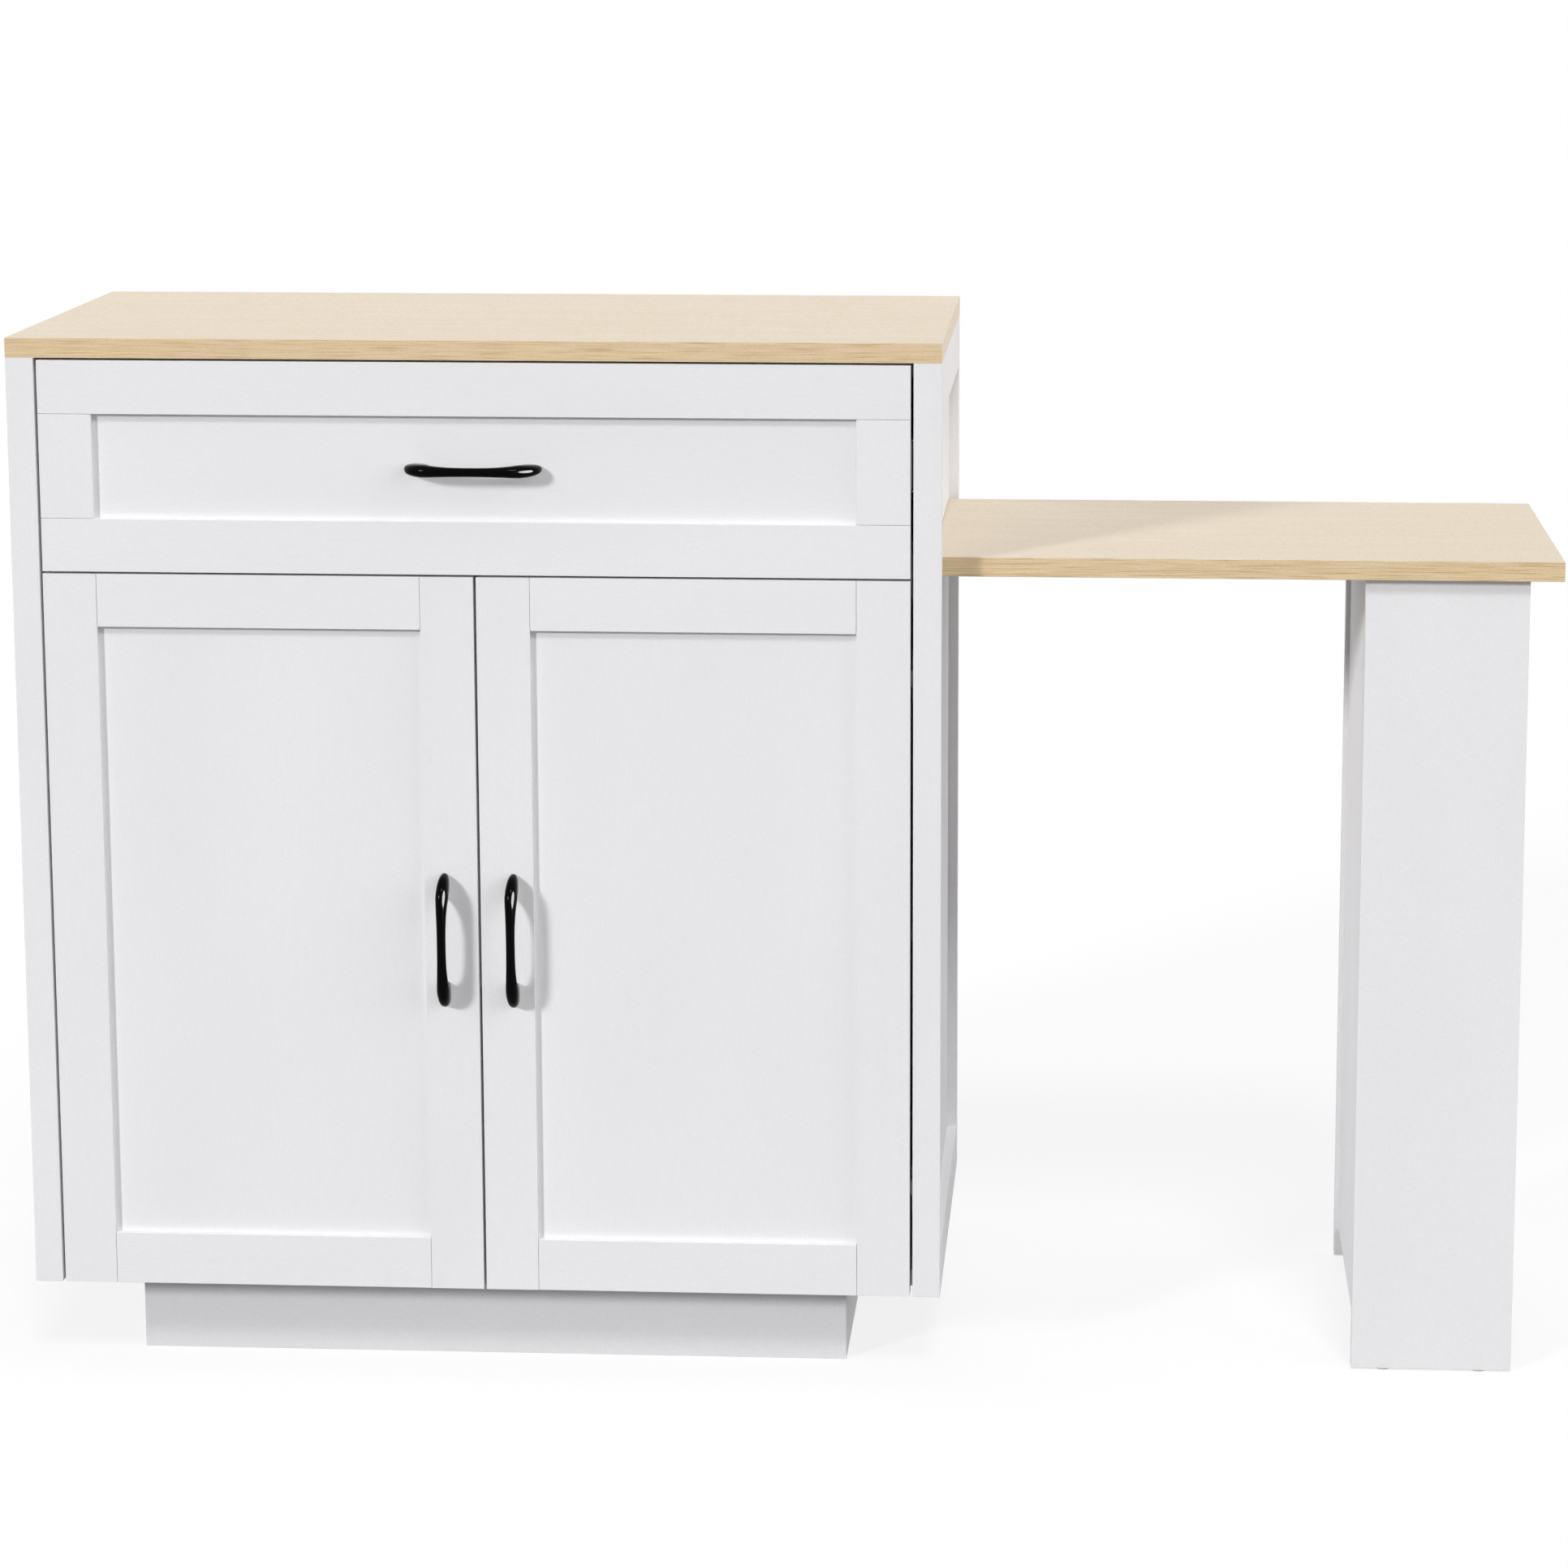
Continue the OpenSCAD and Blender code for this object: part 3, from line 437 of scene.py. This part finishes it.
def bow_grip(node, along, across, middle, thick, foot_length, foot_wide, rings=72, sides=28):
    """A bow handle in the box of its CAD node, which bows out along -Y.

    Its centre line is half a squared ellipse: x is the half span times the cosine to a power and
    the height is the reach times the sine to the same power, at stations spaced evenly along it.
    Each section is an oval square to that line. Its half thickness grows from the middle to the
    feet with the cube of x over the half span, and the oval grows fuller with it. Its half width
    grows with another power of x, is full in the lobes that show from the front, and falls to
    that of the foot with the square of the depth under the crest.
    """
    low, high = (np.array(corner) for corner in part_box(node))
    u, w = AXES.index(along), AXES.index(across)
    length, lobe_wide, depth = high[u] - low[u], high[w] - low[w], high[1] - low[1]
    span = (length - foot_length) / 2
    angle = np.linspace(0, math.pi, FINE_STEPS)
    x = -span * np.sign(np.cos(angle)) * np.abs(np.cos(angle)) ** BOW_POWER
    y = (depth - thick / 2) * np.clip(np.sin(angle), 0, None) ** BOW_POWER
    gone = np.concatenate([[0], np.hypot(np.diff(x), np.diff(y)).cumsum()])
    at = np.linspace(0, gone[-1], rings + 1)
    x, y = np.interp(at, gone, x), np.interp(at, gone, y)
    dx, dy = np.gradient(x), np.gradient(y)
    # The feet stand upright on the face
    dx[[0, -1]] = 0
    size = np.hypot(dx, dy)
    out_x, out_y = -dy / size, dx / size
    grow = (np.abs(x) / span) ** 3
    half_thick = thick / 2 + (foot_length - thick) / 2 * grow
    sink = (1 - y / y.max()) ** 2
    lobe = np.clip(np.abs(x) / (LOBE_PLACE * span), 0, 1) ** LOBE_POWER
    half_wide = middle / 2 + (lobe_wide - middle) / 2 * lobe - (lobe_wide - foot_wide) / 2 * sink
    turn = np.linspace(0, 2 * math.pi, sides, endpoint=False)
    power = (2 / (2 + FULLNESS * grow))[:, None]
    c = np.sign(np.cos(turn)) * np.abs(np.cos(turn)) ** power
    s = np.sign(np.sin(turn)) * np.abs(np.sin(turn)) ** power
    points = np.zeros((rings + 1, sides, 3))
    middle_of = (low + high) / 2
    points[..., u] = middle_of[u] + x[:, None] + (out_x * half_thick)[:, None] * c
    points[..., 1] = high[1] - y[:, None] - (out_y * half_thick)[:, None] * c
    points[..., w] = middle_of[w] + half_wide[:, None] * s
    faces = grid_faces(rings + 1, sides)
    faces += [list(range(sides))[::-1], list(range(rings * sides, (rings + 1) * sides))]
    return points.reshape(-1, 3), faces


# Half width and reach of the arms of a screw's cross recess, each with the slope at its side or
# end, as shares of the head's radius
ARM_WIDTH, ARM_SIDE = 0.17, 0.06
ARM_REACH, ARM_END = 0.62, 0.2
# A screw's shank narrows to its point from this share of its length
POINT_START = 0.85


def screw(head, way, radius, head_radius, head_height, length, recess=0.7, rings=10, sides=40):
    """A pan head screw whose head stands on the point head and looks along way.

    On a polar grid the head's height is its full height times the root of one less the fourth
    power of the radius over the head's radius, less a cross recess that is deepest in the
    middle; a nail has no recess. The outline then runs in under the head, down the shank and
    to a point.
    """
    r = np.linspace(0, 1, rings)
    theta = np.linspace(0, 2 * math.pi, sides, endpoint=False)
    across, up = np.outer(r, np.cos(theta)), np.outer(r, np.sin(theta))
    narrow = np.minimum(np.abs(across), np.abs(up))
    arm = np.clip((ARM_WIDTH - narrow) / ARM_SIDE, 0, 1)
    cross = arm * np.clip((ARM_REACH - r[:, None]) / ARM_END, 0, 1)
    crown = np.sqrt(1 - r[:, None] ** 4) - recess * cross
    tail_r = np.array([radius, radius, 0.0]) / head_radius
    tail_z = np.array([0.0, -POINT_START * length, -length])
    ring_r = np.concatenate([r, tail_r])[:, None]
    height = np.concatenate([crown * head_height, np.repeat(tail_z[:, None], sides, 1)])
    way = np.array(way, float)
    upright = abs(way[2]) > 0.5
    side = np.cross(way, [1, 0, 0] if upright else [0, 0, 1])
    other = np.cross(way, side)
    points = (
        np.array(head)
        + head_radius * ring_r[..., None] * np.cos(theta)[None, :, None] * side
        + head_radius * ring_r[..., None] * np.sin(theta)[None, :, None] * other
        + height[..., None] * way
    )
    faces = [f[::-1] for f in grid_faces(len(ring_r), sides)]
    return points.reshape(-1, 3), faces


def channel(low, high, wall, bend, web_at_low, arc_points=7):
    """A rolled channel along Y: the outline of a C with round bends, carried straight from the
    box's front to its rear. The outline's outer arcs have the radius bend, its inner ones that
    less the wall."""
    deep, half = high[0] - low[0], (high[2] - low[2]) / 2
    arc = np.radians(np.linspace(270, 180, arc_points))
    outer = [[deep, -half]]
    outer += np.stack([bend + bend * np.cos(arc), -half + bend + bend * np.sin(arc)], 1).tolist()
    inner = [[deep, -half + wall]]
    small = bend - wall
    inner += np.stack([bend + small * np.cos(arc), -half + bend + small * np.sin(arc)], 1).tolist()
    mirror = np.array([1, -1])
    outline = np.concatenate([outer, (outer * mirror)[::-1], inner * mirror, np.array(inner)[::-1]])
    n = len(outline)
    x = low[0] + outline[:, 0] if web_at_low else high[0] - outline[:, 0]
    z = (low[2] + high[2]) / 2 + outline[:, 1]
    points = np.concatenate([np.stack([x, np.full(n, y), z], 1) for y in (low[1], high[1])])
    faces = grid_faces(2, n) + [list(range(n))[::-1], list(range(n, 2 * n))]
    if not web_at_low:
        faces = [f[::-1] for f in faces]
    return points, faces


def block(low, high):
    """A plate between two corners, with its faces outwards."""
    x, y, z = np.meshgrid(*zip(low, high), indexing="ij")
    points = np.stack([x, y, z], -1).reshape(-1, 3)
    faces = [[0, 1, 3, 2], [4, 6, 7, 5], [0, 4, 5, 1], [2, 3, 7, 6], [0, 2, 6, 4], [1, 5, 7, 3]]
    return points, faces


def mend(piece):
    """Merges the doubled points at a shape's poles and turns its faces outwards."""
    shape = bmesh.new()
    shape.from_mesh(piece.data)
    bmesh.ops.remove_doubles(shape, verts=shape.verts, dist=WELD)
    bmesh.ops.recalc_face_normals(shape, faces=shape.faces)
    shape.to_mesh(piece.data)
    shape.free()


# Sizes and colours that a user may change


def length_property(name, text, millimetres):
    """A length in the sidebar."""
    return bpy.props.FloatProperty(
        name=name, description=text, default=millimetres * MM, unit="LENGTH", precision=4
    )


def colour_property(name, text, code):
    """A colour in the sidebar, given as sRGB hex."""
    return bpy.props.FloatVectorProperty(
        name=name, description=text, default=linear(code), size=4, subtype="COLOR", min=0, max=1
    )


class IslandSizes(bpy.types.PropertyGroup):
    """Small sizes that the frame doesn't give"""

    board_ease: length_property("Board Edges", "Width of the rounding on carcass boards", 0.4)
    front_ease: length_property("Front Edges", "Width of the rounding on door and drawer frames", 0.4)
    top_ease: length_property("Worktop Edges", "Width of the rounding on the worktop and the table", 0.4)
    joint_gap: length_property("Joint Gap", "Width of the dark line where a frame's boards meet", 0.3)
    panel_gap: length_property("Panel Gap", "Width of the dark line round a frame's panel", 0.6)
    metal_ease: length_property("Metal Edges", "Width of the rounding on hinges and brackets", 0.2)
    grip_width: length_property("Grip Width", "Width of a handle at its middle", 7.7)
    grip_thickness: length_property("Grip Thickness", "Thickness of a handle at its middle", 6.0)
    grip_foot: length_property("Grip Foot", "Length of a handle's foot on the face", 22.0)
    grip_foot_width: length_property("Grip Foot Width", "Width of a handle's foot on the face", 8.6)
    slide_wall: length_property("Slide Wall", "Thickness of a drawer slide's steel", 1.2)
    slide_bend: length_property("Slide Bend", "Outer radius of a drawer slide's bends", 2.0)


class IslandColours(bpy.types.PropertyGroup):
    """Colours of the finishes"""

    melamine: colour_property("Melamine", "White melamine", "#ECEBED")
    melamine_shade: colour_property("Melamine Shade", "Slow variation of the white", "#E8E7E9")
    # Tone of the fine speckle, and painted shade in the hollows of the embossed pores
    melamine_speckle_and_pore_shade: colour_property("Melamine Pore", "Embossed pores", "#DBDADC")
    maple: colour_property("Maple", "Face of the worktop", "#E2D4C1")
    maple_light: colour_property("Maple Light", "Lighter figure", "#E6DAC8")
    maple_line: colour_property("Maple Line", "Fine growth lines", "#DACAB3")
    maple_fleck: colour_property("Maple Fleck", "Short flecks", "#CFBC9F")
    edge: colour_property("Edge Band", "Edge of the worktop", "#D8BF98")
    edge_light: colour_property("Edge Band Light", "Lighter streaks in the edge", "#E2CDA9")
    edge_line: colour_property("Edge Band Line", "Pore lines in the edge", "#B89A6C")
    enamel: colour_property("Enamel", "Handles", "#020203")
    zinc: colour_property("Zinc", "Plated steel", "#C3C6CB")
    zinc_dull: colour_property("Zinc Dull", "Duller patches of the plating", "#B2B5BA")
    nylon: colour_property("Nylon", "Runners, glides and catches", "#D6D6D3")
    hardboard: colour_property("Hardboard", "Painted hardboard", "#E2E2E4")
    hardboard_shade: colour_property("Hardboard Shade", "Mottle in the paint", "#DFDFE1")
    hardboard_fibre: colour_property("Hardboard Fibre", "Fibres under the paint", "#D3D2D1")
    pine: colour_property("Pine", "Corner blocks", "#DDBF8F")
    pine_band: colour_property("Pine Band", "Latewood bands", "#C2955B")


class IslandStage(bpy.types.PropertyGroup):
    """Camera and light"""

    focal_length: bpy.props.FloatProperty(
        name="Focal Length", description="Lens of the camera", default=98.75, unit="CAMERA"
    )
    key_turn: bpy.props.FloatProperty(
        name="Key Turn", description="How far left of the front the key light stands",
        default=math.radians(41), subtype="ANGLE",
    )
    key_height: bpy.props.FloatProperty(
        name="Key Height", description="How high the key light stands above the horizon",
        default=math.radians(20), subtype="ANGLE",
    )
    key_strength: bpy.props.FloatProperty(
        name="Key Strength", description="Strength of the key light", default=1.85, min=0
    )
    top_strength: bpy.props.FloatProperty(
        name="Top Strength", description="Strength of the broad light from above the camera",
        default=1.1, min=0,
    )
    back_strength: bpy.props.FloatProperty(
        name="Back Strength", description="Strength of the broad light from behind", default=1.5, min=0
    )
    fill_strength: bpy.props.FloatProperty(
        name="Fill Strength", description="Strength of the broad light from the right", default=2.8, min=0
    )
    softbox_power: bpy.props.FloatProperty(
        name="Softbox Power", description="Power of the softbox on the handles", default=2200.0,
        min=0, unit="POWER",
    )
    sky_strength: bpy.props.FloatProperty(
        name="Sky Strength", description="Strength of the light from all round", default=0.18, min=0
    )


# Pieces


class ISLAND_OT_worktop(bpy.types.Operator):
    """Worktop board of pale maple laminate with its edge bands"""

    bl_idname = "island.worktop"
    bl_label = "Worktop"

    def execute(self, context):
        eased("countertop", ["maple X", "maple Y", "edge X"], context.scene.island_sizes.top_ease)
        return {"FINISHED"}


class ISLAND_OT_carcass(bpy.types.Operator):
    """Side panels, posts, rails, floors, back, plinth and shelf of the cabinet"""

    bl_idname = "island.carcass"
    bl_label = "Carcass"

    def execute(self, context):
        boards = {
            "white X": "bottom_panel bay_floor shelf top_stretchers back_rails plinth_front plinth_rear",
            "white Y": "left_side_rails right_side_rails plinth_sides",
            "white Z": "left_side_panel right_side_panel front_posts rear_posts",
            "hardboard": "back_panel",
            "pine": "plinth_blocks",
        }
        for name, nodes in boards.items():
            for node in nodes.split():
                eased(node, [name], context.scene.island_sizes.board_ease)
        return {"FINISHED"}


class ISLAND_OT_fronts(bpy.types.Operator):
    """Framed drawer front and doors"""

    bl_idname = "island.fronts"
    bl_label = "Fronts"

    def execute(self, context):
        sizes = context.scene.island_sizes
        for front in ("drawer_front", "left_door", "right_door"):
            # A door's rails butt on its stiles, and the drawer's stiles on its rails
            if front == "drawer_front":
                stiles, rails, grain = "Z", "", "white X"
            else:
                stiles, rails, grain = "", "X", "white Z"
            eased(front + "_stiles", ["white Z"], sizes.front_ease, joints=stiles, gap=sizes.joint_gap)
            eased(front + "_rails", ["white X"], sizes.front_ease, joints=rails, gap=sizes.joint_gap)
            eased(front + "_panel", [grain], 0, joints="XZ", gap=sizes.panel_gap)
        return {"FINISHED"}


def handle_group():
    """The handles, kept together so that a lamp can shine on them alone or pass them by."""
    return bpy.data.collections.get("handles") or bpy.data.collections.new("handles")


class ISLAND_OT_handles(bpy.types.Operator):
    """Three bow handles of black enamel"""

    bl_idname = "island.handles"
    bl_label = "Handles"

    def execute(self, context):
        sizes = context.scene.island_sizes
        grip_sizes = (sizes.grip_width, sizes.grip_thickness, sizes.grip_foot, sizes.grip_foot_width)
        for node, along, across in (
            ("drawer_handle", "X", "Z"),
            ("left_door_handle", "Z", "X"),
            ("right_door_handle", "Z", "X"),
        ):
            shape = bow_grip(node, along, across, *grip_sizes)
            grip = new_piece("bow_" + node, body_of(node), ["enamel"], *shape, [node])
            mend(grip)
            handle_group().objects.link(grip)
        return {"FINISHED"}


class ISLAND_OT_drawer_box(bpy.types.Operator):
    """Drawer box of white boards with a hardboard bottom"""

    bl_idname = "island.drawer_box"
    bl_label = "Drawer Box"

    def execute(self, context):
        ease = context.scene.island_sizes.board_ease
        eased("drawer_sides", ["white Y"], ease)
        for node in ("drawer_inner_front", "drawer_back"):
            eased(node, ["white X"], ease)
        eased("drawer_bottom", ["hardboard"], ease)
        return {"FINISHED"}


class ISLAND_OT_slides(bpy.types.Operator):
    """Rolled steel members of the drawer slides"""

    bl_idname = "island.slides"
    bl_label = "Drawer Slides"

    def execute(self, context):
        sizes = context.scene.island_sizes
        for member, web_outside in (("outers", True), ("middles", True), ("inners", False)):
            node = "drawer_slide_" + member
            left, right = islands(node)
            parts = [
                channel(*left, sizes.slide_wall, sizes.slide_bend, web_outside),
                channel(*right, sizes.slide_wall, sizes.slide_bend, not web_outside),
            ]
            name = "rolled_" + node
            piece = new_piece(name, body_of(node), ["zinc Y"], *join(parts), [node], smooth=False)
            round_edges(piece, sizes.metal_ease, segments=2)
        return {"FINISHED"}


class ISLAND_OT_hinges(bpy.types.Operator):
    """Cup hinges, catches and strike plates"""

    bl_idname = "island.hinges"
    bl_label = "Hinges and Catches"

    def execute(self, context):
        ease = context.scene.island_sizes.metal_ease
        for side in ("left", "right"):
            for kind in ("_hinge_arms", "_hinge_cups", "_door_strike"):
                eased(side + kind, ["zinc Y"], ease, segments=2)
        eased("magnetic_catches", ["nylon"], 4 * ease)
        self.catch_plates()
        return {"FINISHED"}

    def catch_plates(self):
        """The edges of the two steel plates that each catch's magnet lies between."""
        margin, proud, buried, half_thick = 6 * MM, 0.35 * MM, 3 * MM, 0.8 * MM
        plates = []
        for low, high in islands("magnetic_catches"):
            for share in (0.25, 0.75):
                z = low[2] + share * (high[2] - low[2])
                start = (low[0] + margin, low[1] - proud, z - half_thick)
                end = (high[0] - margin, low[1] + buried, z + half_thick)
                plates.append(block(start, end))
        new_piece("catch_plates", "cabinet", ["zinc X"], *join(plates), smooth=False)


class ISLAND_OT_screws(bpy.types.Operator):
    """Screws of the handles, hinges, worktop, runners and brackets, and the nails of the back"""

    bl_idname = "island.screws"
    bl_label = "Screws"

    def execute(self, context):
        for node in ("drawer_handle_screws", "left_door_screws", "right_door_screws"):
            self.heads(node, lambda low, high: (0, 1, 0))
        self.heads("hinge_screws", lambda low, high: (-math.copysign(1, (low + high)[0]), 0, 0))
        self.heads("countertop_screws", lambda low, high: (0, 0, -1))
        repaint("runner_screws", "zinc Z")
        self.bracket_screws()
        self.back_nails()
        return {"FINISHED"}

    def bracket_screws(self):
        """A screw in each flange of the angle brackets: one in the leg, one in the board."""
        size = {"radius": 1.75 * MM, "head_radius": 3.4 * MM, "head_height": 1.6 * MM, "length": 11 * MM}
        plate, reach = 2 * MM, 12 * MM
        front, rear = (corner[1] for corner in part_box("leg_brackets"))
        down = np.array([0.0, 0.0, -1.0])
        parts = []
        for low, high in islands("leg_brackets"):
            # The corner of the angle lies on the leg's panel, under the board
            corner = (low + high) / 2
            corner[2] = high[2]
            if abs(low[1] - front) < MM:
                corner[1], away = low[1], np.array([0.0, 1.0, 0.0])
            elif abs(high[1] - rear) < MM:
                corner[1], away = high[1], np.array([0.0, -1.0, 0.0])
            else:
                corner[0], away = low[0], np.array([1.0, 0.0, 0.0])
            parts.append(screw(corner + away * plate + down * reach, away, **size))
            parts.append(screw(corner + away * reach + down * plate, down, **size))
        mend(new_piece("bracket_screws", "table", ["zinc Z"], *join(parts)))

    def back_nails(self):
        """A row of nails that holds the back panel on the floor of the table bay."""
        size = {"radius": 0.8 * MM, "head_radius": 2.6 * MM, "head_height": 0.5 * MM, "length": 18 * MM}
        margin, nails = 30 * MM, 8
        low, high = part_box("back_panel")
        floor_low, floor_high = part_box("bay_floor")
        height = (floor_low[2] + floor_high[2]) / 2
        places = np.linspace(low[0] + margin, high[0] - margin, nails)
        parts = [screw((x, high[1], height), (0, 1, 0), recess=0, **size) for x in places]
        mend(new_piece("back_panel_nails", "cabinet", ["zinc Z"], *join(parts)))

    def heads(self, node, way_of):
        """Screws in place of a CAD node's solids; way_of tells from a box where its head looks."""
        # Screws that hold a hinge have flatter heads than the rest
        flat, high_head, widest_flat = 1.5 * MM, 2.5 * MM, 3.7 * MM
        parts = []
        for low, high in islands(node):
            way = np.array(way_of(low, high), float)
            axis = int(np.abs(way).argmax())
            across = (axis + 1) % 3
            radius = (high - low)[across] / 2
            height = flat if "hinge" in node or radius < widest_flat else high_head
            end = high if way[axis] > 0 else low
            head = (low + high) / 2
            head[axis] = end[axis] - way[axis] * height
            length_below = (high - low)[axis] - height
            parts.append(screw(head, way, radius / 2, radius, height, length_below))
        mend(new_piece("pan_head_" + node, body_of(node), ["zinc Z"], *join(parts), [node]))


class ISLAND_OT_fittings(bpy.types.Operator):
    """Shelf pins, runners, glides and angle brackets"""

    bl_idname = "island.fittings"
    bl_label = "Small Fittings"

    def execute(self, context):
        ease = context.scene.island_sizes.metal_ease
        eased("shelf_pins", ["zinc X"], 2 * ease)
        eased("leg_brackets", ["zinc Y"], 2 * ease)
        eased("leg_glides", ["nylon"], 2 * ease)
        for node in ("front_table_runner", "rear_table_runner"):
            eased(node, ["nylon"], ease, segments=2)
        return {"FINISHED"}


class ISLAND_OT_table(bpy.types.Operator):
    """Pull-out table board, its stop and its leg"""

    bl_idname = "island.table"
    bl_label = "Pull-out Table"

    def execute(self, context):
        sizes = context.scene.island_sizes
        eased("table_top", ["maple X", "maple Y", "edge X"], sizes.top_ease)
        for node in ("leg_front_panel", "leg_rear_panel", "leg_inner_panel"):
            eased(node, ["white Z"], sizes.board_ease)
        for node in ("leg_shelves", "table_stop"):
            eased(node, ["white Y"], sizes.board_ease)
        return {"FINISHED"}


class ISLAND_OT_stage(bpy.types.Operator):
    """Camera, lights, sky and floor"""

    bl_idname = "island.stage"
    bl_label = "Stage"

    def execute(self, context):
        scene = context.scene
        stage = scene.island_stage
        scene.view_settings.view_transform = "Standard"
        lens = bpy.data.cameras.new("photo_camera")
        lens.lens = stage.focal_length
        lens.shift_x = -0.06
        lens.shift_y = -0.12
        camera = bpy.data.objects.new("photo_camera", lens)
        camera.location = (0.283, -3.7885, 1.316)
        camera.rotation_euler = (math.radians(80.28), 0, math.radians(3.21))
        scene.collection.objects.link(camera)
        scene.camera = camera
        key_turn, key_height = math.degrees(stage.key_turn), math.degrees(stage.key_height)
        self.sun("key_light", stage.key_strength, turn=-key_turn, height=key_height, width=9)
        top = self.sun("top_light", stage.top_strength, turn=12, height=52, width=13)
        # The light from above passes the handles, so that each has one shadow
        passed = bpy.data.collections.new("passed_by_top_light")
        passed.children.link(handle_group())
        passed.collection_children[0].light_linking.link_state = "EXCLUDE"
        top.light_linking.blocker_collection = passed
        # The two broad lights leave no glare, so that worktops keep their colour from all sides
        self.sun("fill_light", stage.fill_strength, turn=85, height=10, width=90, glare=False)
        self.sun("back_light", stage.back_strength, turn=205, height=8, width=60, glare=False)
        self.softbox(stage.softbox_power)
        self.sky(stage)
        self.floor()
        return {"FINISHED"}

    def sun(self, name, strength, turn, height, width, glare=True):
        """A sun lamp: degrees right of the front, above the horizon, and across its disc."""
        lamp = bpy.data.lights.new(name, "SUN")
        lamp.energy = strength
        lamp.angle = math.radians(width)
        sun = bpy.data.objects.new(name, lamp)
        sun.rotation_euler = (math.radians(90 - height), 0, math.radians(turn))
        sun.visible_glossy = glare
        bpy.context.scene.collection.objects.link(sun)
        return sun

    def softbox(self, power):
        """A broad soft lamp on the right that shines on the handles alone."""
        lamp = bpy.data.lights.new("softbox", "AREA")
        lamp.shape = "ELLIPSE"
        lamp.size = 2.8
        lamp.size_y = 1.6
        lamp.energy = power
        box = bpy.data.objects.new("softbox", lamp)
        box.location = (1.64, -1.39, 1.08)
        box.rotation_euler = (math.radians(78), 0, math.radians(58))
        box.visible_camera = False
        box.visible_diffuse = False
        box.light_linking.receiver_collection = handle_group()
        bpy.context.scene.collection.objects.link(box)

    def shown(self, tree):
        """1 for rays from the camera, in mirrors and through glass, and 0 for the rest."""
        rays = put(tree, "LightPath").outputs
        seen = rays["Is Camera Ray"]
        for kind in ("Is Glossy Ray", "Is Transmission Ray"):
            seen = put(tree, "Math", {0: seen, 1: rays[kind]}, operation="MAXIMUM").outputs[0]
        return seen

    def sky(self, stage):
        """A white sky that lights weakly and shows white."""
        world = bpy.data.worlds.new("studio")
        world.use_nodes = True
        tree = world.node_tree
        tree.nodes.clear()
        strength = put(tree, "MapRange", {"Value": self.shown(tree), "To Min": stage.sky_strength})
        light = put(tree, "Background", {"Color": (1, 1, 1, 1), "Strength": strength.outputs["Result"]})
        put(tree, "OutputWorld", {"Surface": light.outputs["Background"]})
        bpy.context.scene.world = world

    def floor(self):
        """A wide floor that shows white and keeps part of the object's shadow."""
        reach, thick, glow_share = 40, 0.01, 0.8
        points, faces = block((-reach, -reach, -thick), (reach, reach, 0))
        mesh = bpy.data.meshes.new("studio_floor")
        mesh.from_pydata(points.tolist(), [], faces)
        floor = bpy.data.objects.new("studio_floor", mesh)
        bpy.context.scene.collection.objects.link(floor)
        material = bpy.data.materials.new("white_backdrop_paper")
        material.use_nodes = True
        tree = material.node_tree
        tree.nodes.clear()
        shown = self.shown(tree)
        # Grey for the light it sends back, so that it doesn't light the object from below too much
        tone = layer(tree, linear("#8C8C8C"), (1, 1, 1, 1), shown)
        paper = put(tree, "BsdfDiffuse", {"Color": tone})
        glow = put(tree, "Emission", {"Color": (1, 1, 1, 1), "Strength": 1.0})
        share = put(tree, "MapRange", {"Value": shown, "To Max": glow_share})
        mixed = put(
            tree, "MixShader", {0: share.outputs["Result"], 1: paper.outputs[0], 2: glow.outputs[0]}
        )
        put(tree, "OutputMaterial", {"Surface": mixed.outputs[0]})
        mesh.materials.append(material)


OPERATORS = (
    ISLAND_OT_stage,
    ISLAND_OT_worktop,
    ISLAND_OT_carcass,
    ISLAND_OT_fronts,
    ISLAND_OT_handles,
    ISLAND_OT_drawer_box,
    ISLAND_OT_slides,
    ISLAND_OT_hinges,
    ISLAND_OT_screws,
    ISLAND_OT_fittings,
    ISLAND_OT_table,
)


class ISLAND_PT_panel(bpy.types.Panel):
    """Sidebar panel with the island's sizes, colours and pieces"""

    bl_label = "Kitchen Island"
    bl_space_type = "VIEW_3D"
    bl_region_type = "UI"
    bl_category = "Island"

    def draw(self, context):
        for group in GROUPS:
            box = self.layout.box()
            settings = getattr(context.scene, group)
            for name in settings.__annotations__:
                box.prop(settings, name)
        for operator in OPERATORS:
            self.layout.operator(operator.bl_idname)


GROUPS = {"island_sizes": IslandSizes, "island_colours": IslandColours, "island_stage": IslandStage}


def register():
    for kind in (*GROUPS.values(), *OPERATORS, ISLAND_PT_panel):
        bpy.utils.register_class(kind)
    for name, group in GROUPS.items():
        setattr(bpy.types.Scene, name, bpy.props.PointerProperty(type=group))


def unregister():
    for name in GROUPS:
        delattr(bpy.types.Scene, name)
    for kind in (ISLAND_PT_panel, *OPERATORS, *GROUPS.values()):
        bpy.utils.unregister_class(kind)


def main():
    register()
    for operator in OPERATORS:
        getattr(bpy.ops.island, operator.bl_idname.split(".")[1])()


if __name__ == "__main__":
    main()
